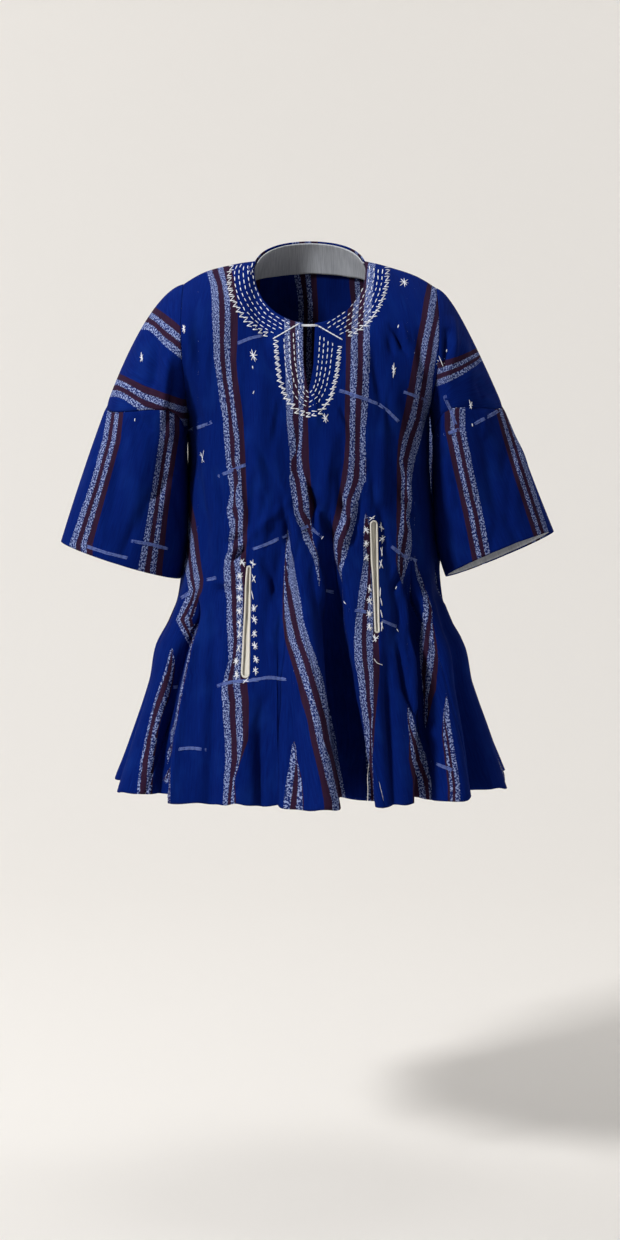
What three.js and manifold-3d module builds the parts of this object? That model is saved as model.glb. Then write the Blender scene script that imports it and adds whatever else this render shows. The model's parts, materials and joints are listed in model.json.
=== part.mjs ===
// A child's fugu smock, in the hollow form that it has when it is worn.
// Millimetres, +Z up. The front faces -Y, and left and right are as seen from the front.
// The origin is at the middle of the neck opening, level with the tops of the shoulders.
import * as THREE from 'three';
import { mergeVertices } from 'three/addons/utils/BufferGeometryUtils.js';
import Module from 'manifold-3d';

const wasm = await Module();
wasm.setup();

// Cloth
const CLOTH = 2;
const THIN_CLOTH = 1;
const SEAM_GAP = 0.3;
const GAP_MARGIN = 1.3;
const LINING_GAP = 0.9;
const WELD = 1e-4;
const STEP = 1e-3;

// Heights
const ARMPIT = -145;
const HEM = -510;

// Neck opening, an oval that slopes down to the front
const NECK_HALF = 55.5;
const NECK_FRONT = 61;
const NECK_BACK = 42;
const NECK_SLOPE = 0.86;
const NECK_BACK_EASE = 0.0045;
const NECK_TURN = THREE.MathUtils.degToRad(103);
const NECK_SHARE = 0.5;

// Body below the armpits: a rounded oval at each height, with the largest sizes at the hem
const BODY = [
  { z: -510, half: 197, front: 152, back: 143, square: 2.3 },
  { z: -473, half: 183, front: 143, back: 135, square: 2.3 },
  { z: -411, half: 162, front: 127, back: 119, square: 2.3 },
  { z: -375, half: 155, front: 117, back: 110, square: 2.3 },
  { z: -350, half: 142, front: 109, back: 102, square: 2.3 },
  { z: -315, half: 128.5, front: 98, back: 92, square: 2.4 },
  { z: -290, half: 121, front: 91, back: 86, square: 2.5 },
  { z: -250, half: 118, front: 86, back: 81, square: 2.6 },
  { z: -200, half: 117.5, front: 85, back: 79, square: 2.7 },
  { z: -145, half: 119, front: 84, back: 78, square: 2.7 },
];

// Shoulder line from the neck to the end of the shoulder
const SHOULDER = [
  { across: 54.1, back: 9.4, up: 7.7 },
  { across: 68, back: 8, up: 6 },
  { across: 80, back: 6, up: 3.5 },
  { across: 93, back: 4, up: 0.5 },
  { across: 104, back: 2, up: -3 },
  { across: 114, back: 1, up: -8 },
  { across: 125, back: 0, up: -15 },
];
const RIGHT_SHOULDER_DROP = 4;

// Roundness of the chest and the back between the armpits and the shoulder line.
// at is 0 on the centre line and 1 at the armhole.
const CHEST = [
  { at: 0, across: 0, front: 83, frontUp: -98, back: 79, backUp: -15 },
  { at: 0.25, across: 37, front: 81, frontUp: -82, back: 79, backUp: -15 },
  { at: 0.5, across: 72, front: 74, frontUp: -22, back: 77, backUp: -12 },
  { at: 0.75, across: 110, front: 98, frontUp: -50, back: 96, backUp: -46 },
  { at: 1, across: 127, front: 120, frontUp: -78, back: 116, backUp: -78 },
];

// Folds of the skirt. A fold runs from its top, at the height from, down to the hem, and grows evenly.
// top and hem are places round the front or the back, -1 and 1 at the sides. depth is out or in at the
// hem, half is its half width, and lean pushes it to one side.
const FRONT_FOLDS = [
  { top: -0.94, hem: -0.88, from: -325, depth: -9, half: 0.06, lean: 0 },
  { top: -0.84, hem: -0.75, from: -315, depth: 9, half: 0.09, lean: 0 },
  { top: -0.71, hem: -0.6, from: -305, depth: -30, half: 0.07, lean: 0 },
  { top: -0.66, hem: -0.5, from: -300, depth: 11, half: 0.075, lean: -0.8 },
  { top: -0.3, hem: -0.27, from: -330, depth: 5, half: 0.09, lean: 0 },
  { top: -0.21, hem: -0.13, from: -250, depth: -9, half: 0.06, lean: 0 },
  { top: -0.12, hem: 0.03, from: -230, depth: 25, half: 0.13, lean: 0.35 },
  { top: 0.13, hem: 0.17, from: -225, depth: -41, half: 0.1, lean: 0 },
  { top: 0.36, hem: 0.31, from: -260, depth: 9, half: 0.13, lean: 0 },
  { top: 0.68, hem: 0.48, from: -275, depth: -23, half: 0.075, lean: 0 },
  { top: 0.76, hem: 0.58, from: -300, depth: 9, half: 0.06, lean: -0.4 },
  { top: 0.82, hem: 0.69, from: -310, depth: -17, half: 0.06, lean: 0 },
  { top: 0.91, hem: 0.81, from: -310, depth: 7, half: 0.08, lean: 0 },
];
const BACK_FOLDS = [
  { top: -0.9, hem: -0.88, from: -320, depth: -9, half: 0.07, lean: 0 },
  { top: -0.78, hem: -0.74, from: -305, depth: 11, half: 0.09, lean: 0.2 },
  { top: -0.66, hem: -0.57, from: -290, depth: -26, half: 0.08, lean: 0 },
  { top: -0.5, hem: -0.4, from: -280, depth: 12, half: 0.1, lean: -0.3 },
  { top: -0.28, hem: -0.24, from: -262, depth: -22, half: 0.08, lean: 0 },
  { top: -0.1, hem: -0.05, from: -255, depth: 17, half: 0.12, lean: 0.3 },
  { top: 0.13, hem: 0.13, from: -250, depth: -26, half: 0.1, lean: 0 },
  { top: 0.3, hem: 0.29, from: -270, depth: 10, half: 0.09, lean: 0 },
  { top: 0.5, hem: 0.43, from: -280, depth: -18, half: 0.07, lean: 0 },
  { top: 0.62, hem: 0.57, from: -290, depth: 13, half: 0.09, lean: 0.3 },
  { top: 0.74, hem: 0.71, from: -300, depth: -21, half: 0.07, lean: 0 },
  { top: 0.88, hem: 0.86, from: -315, depth: 9, half: 0.08, lean: 0 },
];

// Gores, triangles let in between the long strips. row counts the skirt's rows down to the point,
// apex is the point's place, and left and right are the corners at the hem. columns is the mesh's.
const FRONT_GORES = [
  { name: 'gore_front_outer_left', row: 9, apex: -0.71, left: -0.66, right: -0.5, columns: 4 },
  { name: 'gore_front_left', row: 5, apex: -0.16, left: -0.11, right: 0.11, columns: 5 },
  { name: 'gore_front_right', row: 5, apex: 0.15, left: 0.21, right: 0.28, columns: 3 },
  { name: 'gore_front_outer_right', row: 7, apex: 0.66, left: 0.5, right: 0.64, columns: 4 },
];
const BACK_GORES = [
  { name: 'gore_back_outer_left', row: 8, apex: -0.64, left: -0.66, right: -0.5, columns: 4 },
  { name: 'gore_back_left', row: 6, apex: -0.22, left: -0.3, right: -0.14, columns: 4 },
  { name: 'gore_back_right', row: 6, apex: 0.22, left: 0.16, right: 0.31, columns: 4 },
  { name: 'gore_back_outer_right', row: 8, apex: 0.64, left: 0.5, right: 0.66, columns: 4 },
];
const SIDE_GORE = { row: 9, half: 0.14, columns: 4 };

// Mesh of the body: rows above and below the armpits, and columns in each long strip
const YOKE_ROWS = 10;
const SKIRT_ROWS = 20;
const FRONT_COLUMNS = [5, 8, 6, 8, 5];
const BACK_COLUMNS = [5, 6, 6, 6, 5];

// Slit below the neck, and the two pocket slits with their cream edges, all cut through the front
const PRISM_REACH = 260;
const NECK_SLIT = { top: -40, left: -7, right: 5.4, bottom: -117, middle: -1.3, shoulder: -92 };
const POCKETS = [
  { side: 'left', topX: -59.5, topZ: -288, footX: -62.2, footZ: -387, topHalf: 2.7, footHalf: 4.6,
    topOpen: 0.7, footOpen: 2.4 },
  { side: 'right', topX: 62, topZ: -246, footX: 64.7, footZ: -347, topHalf: 4.3, footHalf: 2.7,
    topOpen: 2.3, footOpen: 0.7 },
];
const POCKET_LINING = { side: 9, end: 7, columns: 3, rows: 8 };

// Sleeves. The cuff is an oval between its outer and its inner corner, and tip lowers its back edge.
// cap is how far the top of the sleeve runs out from the shoulder before it hangs down.
const SLEEVES = [
  { side: 'left', sign: -1, outerX: 249, outerZ: -270, innerX: 131, innerZ: -307, tip: 0, cap: 40 },
  { side: 'right', sign: 1, outerX: 244, outerZ: -261, innerX: 137, innerZ: -305, tip: 0.22, cap: 24 },
];
const CUFF_DEPTH = 47;
const UNDERARM_CLEAR = 4;
const UNDERARM_CAP = 8;
const TOP_DROP = -10;
const UNDERARM_DROP = -45;
const FRONT_BULGE = 5;
const TOP_STRAIGHT = 0.47;
const UNDERARM_STRAIGHT = 0.34;
const SEAM_AT_TOP = 0.62;
const SEAM_AT_UNDERARM = 0.14;
const SLEEVE_COLUMNS = 2 * YOKE_ROWS;
const SLEEVE_ROWS = 5;
const CUFF_FACING = 0.88;
const FACING_END = 0.996;
const FACING_ROWS = 2;
const NECK_FACING_FROM = 0.72;
const NECK_FACING_COLUMNS = 14;

const COLOURS = {
  blue: 0x0a1f6b,
  gore: 0x0c2678,
  sleeve: 0x0b2270,
  cream: 0xd8cfbf,
  facing: 0xc9ccd2,
};

const smock = new THREE.Group();

// Smooth curve through the rows of a table, which are in rising or falling order of the column key
function track(rows, key) {
  const sorted = [...rows].sort((a, b) => a[key] - b[key]);
  const place = sorted.map((row) => row[key]);
  const last = sorted.length - 1;
  const slope = (column, i) => {
    const low = Math.max(i - 1, 0);
    const high = Math.min(i + 1, last);
    return (sorted[high][column] - sorted[low][column]) / (place[high] - place[low]);
  };
  return (column, at) => {
    const value = THREE.MathUtils.clamp(at, place[0], place[last]);
    let i = 0;
    while (i < last - 1 && value > place[i + 1]) i += 1;
    const span = place[i + 1] - place[i];
    const t = (value - place[i]) / span;
    const start = sorted[i][column];
    const end = sorted[i + 1][column];
    const rise = slope(column, i) * span;
    const fall = slope(column, i + 1) * span;
    return start + t * (rise + t * (3 * (end - start) - 2 * rise - fall
      + t * (2 * (start - end) + rise + fall)));
  };
}

const bodyAt = track(BODY, 'z');
const shoulderAt = track(SHOULDER, 'across');
const chestAt = track(CHEST, 'at');

// Place round the body: -1 to 1 is the front, and 1 to 3 or -1 to -3 the back, from side to side
function bodyPoint(place, z) {
  const isBack = Math.abs(place) > 1;
  const at = isBack ? Math.sign(place) * (2 - Math.abs(place)) : place;
  const angle = at * Math.PI / 2;
  const sine = Math.sin(angle);
  const cosine = Math.cos(angle);
  const square = bodyAt('square', z);
  const half = bodyAt('half', z);
  const depth = bodyAt(isBack ? 'back' : 'front', z);
  const radius = (Math.abs(sine / half) ** square + Math.abs(cosine / depth) ** square) ** (-1 / square);
  let out = radius;
  let aside = 0;
  for (const fold of isBack ? BACK_FOLDS : FRONT_FOLDS) {
    const grown = THREE.MathUtils.clamp((fold.from - z) / (fold.from - HEM), 0, 1);
    const middle = THREE.MathUtils.lerp(fold.top, fold.hem, grown);
    const reach = (at - middle) / fold.half;
    const shape = Math.abs(reach) < 1 ? (1 - reach * reach) ** 2 : 0;
    out += fold.depth * grown * shape;
    aside += fold.lean * fold.depth * grown * shape;
  }
  const x = out * sine + aside * cosine;
  const y = out * cosine - aside * sine;
  return new THREE.Vector3(x, isBack ? y : -y, z);
}

// Top edge of the front or the back: the neck oval, then the shoulder line out to the armhole
function topPoint(at, isBack) {
  const share = Math.abs(at);
  const sign = Math.sign(at) || 1;
  if (share <= NECK_SHARE) {
    const part = share / NECK_SHARE;
    const turn = isBack ? Math.PI - (Math.PI - NECK_TURN) * part : NECK_TURN * part;
    const cosine = Math.cos(turn);
    const y = cosine > 0 ? -NECK_FRONT * cosine : -NECK_BACK * cosine;
    const ease = y > 0 ? NECK_BACK_EASE * y * y : 0;
    return new THREE.Vector3(sign * NECK_HALF * Math.sin(turn), y, NECK_SLOPE * y - ease);
  }
  const first = SHOULDER[0].across;
  const end = SHOULDER[SHOULDER.length - 1].across;
  const across = THREE.MathUtils.mapLinear(share, NECK_SHARE, 1, first, end);
  const gap = (isBack ? 1 : -1) * SEAM_GAP / 2;
  const outward = (share - NECK_SHARE) / (1 - NECK_SHARE);
  const drop = sign > 0 ? RIGHT_SHOULDER_DROP * Math.sin(Math.PI / 2 * outward) : 0;
  return new THREE.Vector3(sign * across, shoulderAt('back', across) + gap, shoulderAt('up', across) - drop);
}

// Chest or upper back: rise is 0 level with the armpits and 1 at the top edge
function yokePoint(at, rise, isBack) {
  const low = bodyPoint(around(at, isBack), ARMPIT);
  const top = topPoint(at, isBack);
  const share = Math.abs(at);
  const depth = isBack ? chestAt('back', share) : -chestAt('front', share);
  const up = chestAt(isBack ? 'backUp' : 'frontUp', share);
  const middle = new THREE.Vector3(Math.sign(at) * chestAt('across', share), depth, up);
  const keep = 1 - rise;
  return low.multiplyScalar(keep * keep)
    .addScaledVector(middle, 2 * rise * keep)
    .addScaledVector(top, rise * rise);
}

// A surface's point and its normal, from two points near it in each direction
function pointWithNormal(surface, u, v) {
  const alongU = surface(u + STEP, v).sub(surface(u - STEP, v));
  const alongV = surface(u, v + STEP).sub(surface(u, v - STEP));
  return { point: surface(u, v), normal: alongU.cross(alongV).normalize() };
}

// Rows of points with normals, each row with its own places across
function sampleRows(surface, rows, placesOf) {
  return rows.map((v) => placesOf(v).map((u) => pointWithNormal(surface, u, v)));
}

// Closed wall of cloth over a grid of points with normals. Columns in skip have no cloth to their right.
function clothWall(grid, { thickness = CLOTH, inset = 0, skip = [] } = {}) {
  const keys = new Map();
  const points = [];
  const indices = grid.map((row) => row.map((sample) => {
    const key = sample.point.toArray().map((value) => Math.round(value / WELD)).join();
    if (!keys.has(key)) {
      keys.set(key, points.length);
      points.push(sample);
    }
    return keys.get(key);
  }));
  const faces = [];
  for (let j = 0; j < grid.length - 1; j += 1) {
    for (let i = 0; i < grid[j].length - 1; i += 1) {
      const [a, b, c, d] = [indices[j][i], indices[j][i + 1], indices[j + 1][i + 1], indices[j + 1][i]];
      const pair = [[a, b, c], [a, c, d]];
      if (!skip.includes(i)) faces.push(...pair.filter((face) => new Set(face).size === 3));
    }
  }
  const used = new Map();
  for (const [a, b, c] of faces) {
    for (const edge of [[a, b], [b, c], [c, a]]) used.set(edge.join(), edge);
  }
  const rims = [...used.values()].filter(([a, b]) => !used.has([b, a].join()));
  const count = points.length;
  const position = [thickness / 2 - inset, -thickness / 2 - inset].flatMap((offset) => points
    .flatMap(({ point, normal }) => point.clone().addScaledVector(normal, offset).toArray()));
  const index = faces.flatMap(([a, b, c]) => [a, b, c, c + count, b + count, a + count]);
  for (const [a, b] of rims) index.push(b, a, a + count, b, a + count, b + count);
  const geometry = new THREE.BufferGeometry();
  geometry.setAttribute('position', new THREE.Float32BufferAttribute(position, 3));
  geometry.setIndex(index);
  return geometry;
}

function toSolid(geometry) {
  const plain = geometry.clone();
  plain.deleteAttribute('normal');
  plain.deleteAttribute('uv');
  const merged = mergeVertices(plain, WELD);
  return new wasm.Manifold(new wasm.Mesh({
    numProp: 3,
    vertProperties: new Float32Array(merged.attributes.position.array),
    triVerts: new Uint32Array(merged.index.array),
  }));
}

function toGeometry(solid) {
  const mesh = solid.getMesh();
  const geometry = new THREE.BufferGeometry();
  geometry.setAttribute('position', new THREE.Float32BufferAttribute(mesh.vertProperties, 3));
  geometry.setIndex([...mesh.triVerts]);
  return geometry;
}

function addPiece(name, geometry, colour, roughness = 0.85) {
  geometry.computeVertexNormals();
  const material = new THREE.MeshStandardMaterial({ color: colour, roughness, metalness: 0 });
  const mesh = new THREE.Mesh(geometry, material);
  mesh.name = name;
  smock.add(mesh);
}

// Evenly spaced numbers from start to end, both ends included
const spread = (start, end, steps) => Array.from({ length: steps + 1 },
  (_, i) => THREE.MathUtils.lerp(start, end, i / steps));

const skirtLevels = spread(ARMPIT, HEM, SKIRT_ROWS);
const levelOf = (row) => skirtLevels[row];
const skirtLevelsFrom = (row) => skirtLevels.slice(row).reverse();

// Edge of a gore at a height: side is left or right
function goreEdge(gore, side, z) {
  const grown = Math.max((levelOf(gore.row) - z) / (levelOf(gore.row) - HEM), 0);
  return THREE.MathUtils.lerp(gore.apex, gore[side], grown);
}

// Half a seam gap as a share of the way round, at a place round the body and a height
function gapShare(place, z) {
  const speed = bodyPoint(place - STEP, z).distanceTo(bodyPoint(place + STEP, z)) / (2 * STEP);
  return GAP_MARGIN * SEAM_GAP / (2 * speed);
}

// Place on the whole way round of a place across the front or the back
const around = (at, isBack) => (isBack ? Math.sign(at || 1) * (2 - Math.abs(at)) : at);

// Long strips of the front or the back at a height, from side seam to side seam, as pairs of edges
function stripEdges(gores, z, isBack) {
  const gap = (at) => gapShare(around(at, isBack), z);
  const sideGrown = Math.max((levelOf(SIDE_GORE.row) - z) / (levelOf(SIDE_GORE.row) - HEM), 0);
  const side = 1 - SIDE_GORE.half * sideGrown;
  const edges = [-side + gap(-side)];
  for (const gore of gores) {
    const left = goreEdge(gore, 'left', z);
    const right = goreEdge(gore, 'right', z);
    const isOpen = z < levelOf(gore.row);
    edges.push(isOpen ? left - gap(left) : left, isOpen ? right + gap(right) : right);
  }
  edges.push(side - gap(side));
  return edges;
}

function stripPlaces(gores, columns, z, isBack) {
  const edges = stripEdges(gores, z, isBack);
  return columns.flatMap((count, i) => spread(edges[2 * i], edges[2 * i + 1], count));
}

// Front or back in one piece: the skirt's rows from the hem up, then the rows of the chest
function bodyGrid(gores, columns, isBack) {
  const hand = isBack ? -1 : 1;
  const places = (z) => stripPlaces(gores, columns, z, isBack).map((at) => hand * at).sort((a, b) => a - b);
  const skirt = sampleRows((u, z) => bodyPoint(around(hand * u, isBack), z),
    [...skirtLevels].reverse(), places);
  const yoke = sampleRows((u, rise) => yokePoint(hand * u, rise, isBack),
    spread(0, 1, YOKE_ROWS).slice(1), () => places(ARMPIT));
  const other = sampleRows((u, rise) => yokePoint(-hand * u, rise, !isBack), [1],
    () => places(ARMPIT).map((at) => -at));
  yoke[YOKE_ROWS - 1].forEach((sample, i) => {
    const across = Math.abs(sample.point.x);
    if (across >= SHOULDER[0].across) sample.normal.add(other[0][i].normal).normalize();
  });
  return [...skirt, ...yoke];
}

// Columns that lie beside an opening between two strips
function stripSkips(columns) {
  let total = -1;
  return columns.slice(0, -1).map((count) => {
    total += count + 1;
    return total;
  });
}

// Prism through the front, from a shape drawn in X and Z
function frontPrism(shape) {
  const geometry = new THREE.ExtrudeGeometry(shape,
    { depth: PRISM_REACH, bevelEnabled: false, curveSegments: 4 });
  geometry.rotateX(Math.PI / 2);
  return toSolid(geometry);
}

function neckSlitShape({ top, left, right, bottom, middle, shoulder }) {
  const shape = new THREE.Shape();
  shape.moveTo(left, top);
  shape.lineTo(left + 1, shoulder);
  shape.quadraticCurveTo(middle - 1, bottom + 4, middle, bottom);
  shape.quadraticCurveTo(middle + 2, bottom + 4, right - 2, shoulder);
  shape.lineTo(right, top);
  shape.closePath();
  return shape;
}

// Long slot with round ends of two sizes
function slotShape(pocket, topHalf, footHalf) {
  const shape = new THREE.Shape();
  shape.moveTo(pocket.topX - topHalf, pocket.topZ);
  shape.lineTo(pocket.footX - footHalf, pocket.footZ);
  shape.absarc(pocket.footX, pocket.footZ, footHalf, Math.PI, 2 * Math.PI, false);
  shape.lineTo(pocket.topX + topHalf, pocket.topZ);
  shape.absarc(pocket.topX, pocket.topZ, topHalf, 0, Math.PI, false);
  return shape;
}

function addFront() {
  const grid = bodyGrid(FRONT_GORES, FRONT_COLUMNS, false);
  let front = toSolid(clothWall(grid, { skip: stripSkips(FRONT_COLUMNS) }));
  front = front.subtract(frontPrism(neckSlitShape(NECK_SLIT)));
  for (const pocket of POCKETS) {
    const { topHalf, footHalf, topOpen, footOpen } = pocket;
    const ring = frontPrism(slotShape(pocket, topHalf - SEAM_GAP, footHalf - SEAM_GAP))
      .subtract(frontPrism(slotShape(pocket, topOpen, footOpen)));
    addPiece(`pocket_binding_${pocket.side}`, toGeometry(front.intersect(ring)), COLOURS.cream);
    front = front.subtract(frontPrism(slotShape(pocket, topHalf, footHalf)));
  }
  addPiece('front_body', toGeometry(front), COLOURS.blue);
}

function addBack() {
  const grid = bodyGrid(BACK_GORES, BACK_COLUMNS, true);
  addPiece('back_body', clothWall(grid, { skip: stripSkips(BACK_COLUMNS) }), COLOURS.blue);
}

// Gore between two edges, from the row below its point down to the hem
function goreGrid(gore, columns, edgesAt) {
  return sampleRows(bodyPoint, skirtLevelsFrom(gore.row + 1), (z) => {
    const [start, end] = edgesAt(z);
    return spread(start + gapShare(start, z), end - gapShare(end, z), columns);
  });
}

function addGores() {
  for (const gore of FRONT_GORES) {
    const grid = goreGrid(gore, gore.columns, (z) => [goreEdge(gore, 'left', z), goreEdge(gore, 'right', z)]);
    addPiece(gore.name, clothWall(grid), COLOURS.gore);
  }
  for (const gore of BACK_GORES) {
    const grid = goreGrid(gore, gore.columns,
      (z) => [around(goreEdge(gore, 'right', z), true), around(goreEdge(gore, 'left', z), true)]);
    addPiece(gore.name, clothWall(grid), COLOURS.gore);
  }
  for (const sign of [-1, 1]) {
    const half = (z) => SIDE_GORE.half * (levelOf(SIDE_GORE.row) - z) / (levelOf(SIDE_GORE.row) - HEM);
    const grid = goreGrid(SIDE_GORE, SIDE_GORE.columns, (z) => [sign - half(z), sign + half(z)]);
    addPiece(`gore_side_${sign < 0 ? 'left' : 'right'}`, clothWall(grid), COLOURS.gore);
  }
}

// Sleeve: turn is 0 on top of the shoulder, a quarter at the front and half under the arm.
// along is 0 at the armhole and 1 at the cuff.
function sleevePoint(sleeve, turn, along) {
  const round = THREE.MathUtils.euclideanModulo(turn, 1);
  const isBack = round > 0.5;
  const rise = isBack ? 2 * round - 1 : 1 - 2 * round;
  const under = (1 - Math.cos(2 * Math.PI * round)) / 2;
  const start = yokePoint(sleeve.sign, rise, isBack);
  start.x += sleeve.sign * (SEAM_GAP + UNDERARM_CLEAR * under * under);
  const outer = new THREE.Vector3(sleeve.sign * sleeve.outerX, 0, sleeve.outerZ);
  const inner = new THREE.Vector3(sleeve.sign * sleeve.innerX, 0, sleeve.innerZ);
  const depth = -CUFF_DEPTH * Math.sin(2 * Math.PI * round);
  const end = outer.clone().lerp(inner, under);
  end.y = depth;
  end.z -= sleeve.tip * depth;
  const down = inner.clone().sub(outer).normalize();
  const armward = new THREE.Vector3(sleeve.sign * Math.abs(down.z), 0, -Math.abs(down.x));
  const span = start.distanceTo(end);
  const first = start.clone().add(new THREE.Vector3(
    sleeve.sign * THREE.MathUtils.lerp(sleeve.cap, UNDERARM_CAP, under),
    -FRONT_BULGE * Math.sin(2 * Math.PI * round),
    THREE.MathUtils.lerp(TOP_DROP, UNDERARM_DROP, under),
  ));
  const straight = THREE.MathUtils.lerp(TOP_STRAIGHT, UNDERARM_STRAIGHT, under);
  const second = end.clone().addScaledVector(armward, -span * straight);
  return new THREE.CubicBezierCurve3(start, first, second, end).getPoint(along);
}

function seamAlong(turn) {
  const under = (1 - Math.cos(2 * Math.PI * turn)) / 2;
  return THREE.MathUtils.lerp(SEAM_AT_TOP, SEAM_AT_UNDERARM, under);
}

// Stretch of a sleeve from one share of its length to another, as a closed tube wall
function sleeveTube(sleeve, from, to, rows, options) {
  const turns = spread(0, 1, SLEEVE_COLUMNS);
  const surface = (turn, share) => sleevePoint(sleeve, turn,
    THREE.MathUtils.lerp(from(turn), to(turn), share));
  const grid = spread(0, 1, rows).map((share) => turns.map((turn) => {
    const sample = pointWithNormal(surface, turn, THREE.MathUtils.clamp(share, 2 * STEP, 1 - 2 * STEP));
    sample.point = surface(turn % 1, share);
    sample.normal.multiplyScalar(sleeve.sign);
    return sample;
  }));
  return clothWall(sleeve.sign > 0 ? grid : grid.map((row) => row.reverse()), options);
}

function addSleeves() {
  for (const sleeve of SLEEVES) {
    const gap = (turn) => SEAM_GAP / 2
      / sleevePoint(sleeve, turn, 0).distanceTo(sleevePoint(sleeve, turn, 1));
    addPiece(`sleeve_upper_${sleeve.side}`, sleeveTube(sleeve, () => 0,
      (turn) => seamAlong(turn) - gap(turn), SLEEVE_ROWS), COLOURS.sleeve);
    addPiece(`sleeve_lower_${sleeve.side}`, sleeveTube(sleeve, (turn) => seamAlong(turn) + gap(turn),
      () => 1, SLEEVE_ROWS), COLOURS.sleeve);
    addPiece(`cuff_facing_${sleeve.side}`, sleeveTube(sleeve, () => CUFF_FACING, () => FACING_END, FACING_ROWS,
      { thickness: THIN_CLOTH, inset: (CLOTH + THIN_CLOTH) / 2 + LINING_GAP }), COLOURS.facing);
  }
}

// Facing inside the back of the neck, as far round as it shows
function addNeckFacing() {
  const places = spread(-NECK_SHARE, NECK_SHARE, NECK_FACING_COLUMNS);
  const grid = sampleRows((u, rise) => yokePoint(-u, rise, true),
    spread(NECK_FACING_FROM, FACING_END, FACING_ROWS), () => places);
  addPiece('neck_facing', clothWall(grid,
    { thickness: THIN_CLOTH, inset: (CLOTH + THIN_CLOTH) / 2 + LINING_GAP }), COLOURS.facing);
}

// Cream pocket cloth behind each slit, on the inside of the front
function addPocketLinings() {
  for (const pocket of POCKETS) {
    const { end, rows } = POCKET_LINING;
    const heights = spread(pocket.footZ - end, pocket.topZ + end, rows);
    const grid = sampleRows(bodyPoint, heights, (z) => {
      const middle = THREE.MathUtils.mapLinear(z, pocket.footZ, pocket.topZ, pocket.footX, pocket.topX);
      const depth = bodyAt('front', z);
      const place = (x) => Math.atan2(x, depth) / (Math.PI / 2);
      return spread(place(middle - POCKET_LINING.side), place(middle + POCKET_LINING.side),
        POCKET_LINING.columns);
    });
    addPiece(`pocket_lining_${pocket.side}`, clothWall(grid,
      { thickness: THIN_CLOTH, inset: (CLOTH + THIN_CLOTH) / 2 + LINING_GAP }), COLOURS.cream);
  }
}

addFront();
addBack();
addGores();
addSleeves();
addNeckFacing();
addPocketLinings();

export default smock;
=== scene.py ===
import json
import math

import bpy
import numpy as np
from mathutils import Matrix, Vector
from mathutils.bvhtree import BVHTree

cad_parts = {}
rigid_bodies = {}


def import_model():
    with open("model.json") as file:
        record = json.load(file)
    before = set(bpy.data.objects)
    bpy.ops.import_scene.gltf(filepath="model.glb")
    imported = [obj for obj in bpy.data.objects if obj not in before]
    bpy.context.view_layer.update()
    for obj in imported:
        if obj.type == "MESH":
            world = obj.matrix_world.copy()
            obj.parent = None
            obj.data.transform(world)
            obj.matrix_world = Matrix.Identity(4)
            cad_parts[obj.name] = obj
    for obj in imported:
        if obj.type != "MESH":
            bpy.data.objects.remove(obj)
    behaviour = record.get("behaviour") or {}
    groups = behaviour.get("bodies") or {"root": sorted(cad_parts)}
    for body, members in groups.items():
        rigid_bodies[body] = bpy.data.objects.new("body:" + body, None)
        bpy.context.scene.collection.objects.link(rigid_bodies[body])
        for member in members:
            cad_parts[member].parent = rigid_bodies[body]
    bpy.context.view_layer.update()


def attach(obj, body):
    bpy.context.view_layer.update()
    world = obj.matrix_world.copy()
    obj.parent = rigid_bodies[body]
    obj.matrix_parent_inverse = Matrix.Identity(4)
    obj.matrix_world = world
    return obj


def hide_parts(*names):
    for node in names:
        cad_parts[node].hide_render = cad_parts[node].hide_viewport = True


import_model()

MM = 0.001
rng = np.random.default_rng(7)

# Camera, as the photo was taken
PHOTO_WIDTH, PHOTO_HEIGHT = 620, 1240
FOCAL_PIXELS = 2450
SENSOR = 36.0
CAMERA_AT = np.array([0.0, -2450.0, -30.0])
TILT = math.radians(7.44)
FORWARD = np.array([0.0, math.cos(TILT), -math.sin(TILT)])
UPWARD = np.array([0.0, math.sin(TILT), math.cos(TILT)])

# Cloth
CLOTH = 1.25
THIN_CLOTH = 0.8
STEP = 1e-3
LINING_INSET = 2.4

# Heights
ARMPIT = -145.0
HEM = -510.0
SKIRT_LEVELS = np.linspace(ARMPIT, HEM, 21)

# Neck opening and shoulder line
NECK_HALF = 55.5
NECK_FRONT = 61.0
NECK_BACK = 42.0
NECK_SLOPE = 0.86
NECK_BACK_EASE = 0.0045
NECK_TURN = math.radians(103)
NECK_SHARE = 0.5
RIGHT_SHOULDER_DROP = 4.0

# Body below the armpits: height, half width, front, back, squareness
BODY = [
    (-510, 197, 152, 143, 2.3), (-473, 183, 143, 135, 2.3), (-411, 162, 127, 119, 2.3),
    (-375, 155, 117, 110, 2.3), (-350, 142, 109, 102, 2.3), (-315, 128.5, 98, 92, 2.4),
    (-290, 121, 91, 86, 2.5), (-250, 118, 86, 81, 2.6), (-200, 117.5, 85, 79, 2.7),
    (-145, 119, 84, 78, 2.7),
]
# Shoulder line: across, back, up
SHOULDER = [(54.1, 9.4, 7.7), (68, 8, 6), (80, 6, 3.5), (93, 4, 0.5), (104, 2, -3), (114, 1, -8),
            (125, 0, -15)]
# Roundness of chest and back: place, across, front, front height, back, back height
CHEST = [(0, 0, 83, -98, 79, -15), (0.25, 37, 81, -82, 79, -15), (0.5, 72, 74, -22, 77, -12),
         (0.75, 110, 98, -50, 96, -46), (1, 127, 120, -78, 116, -78)]

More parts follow.
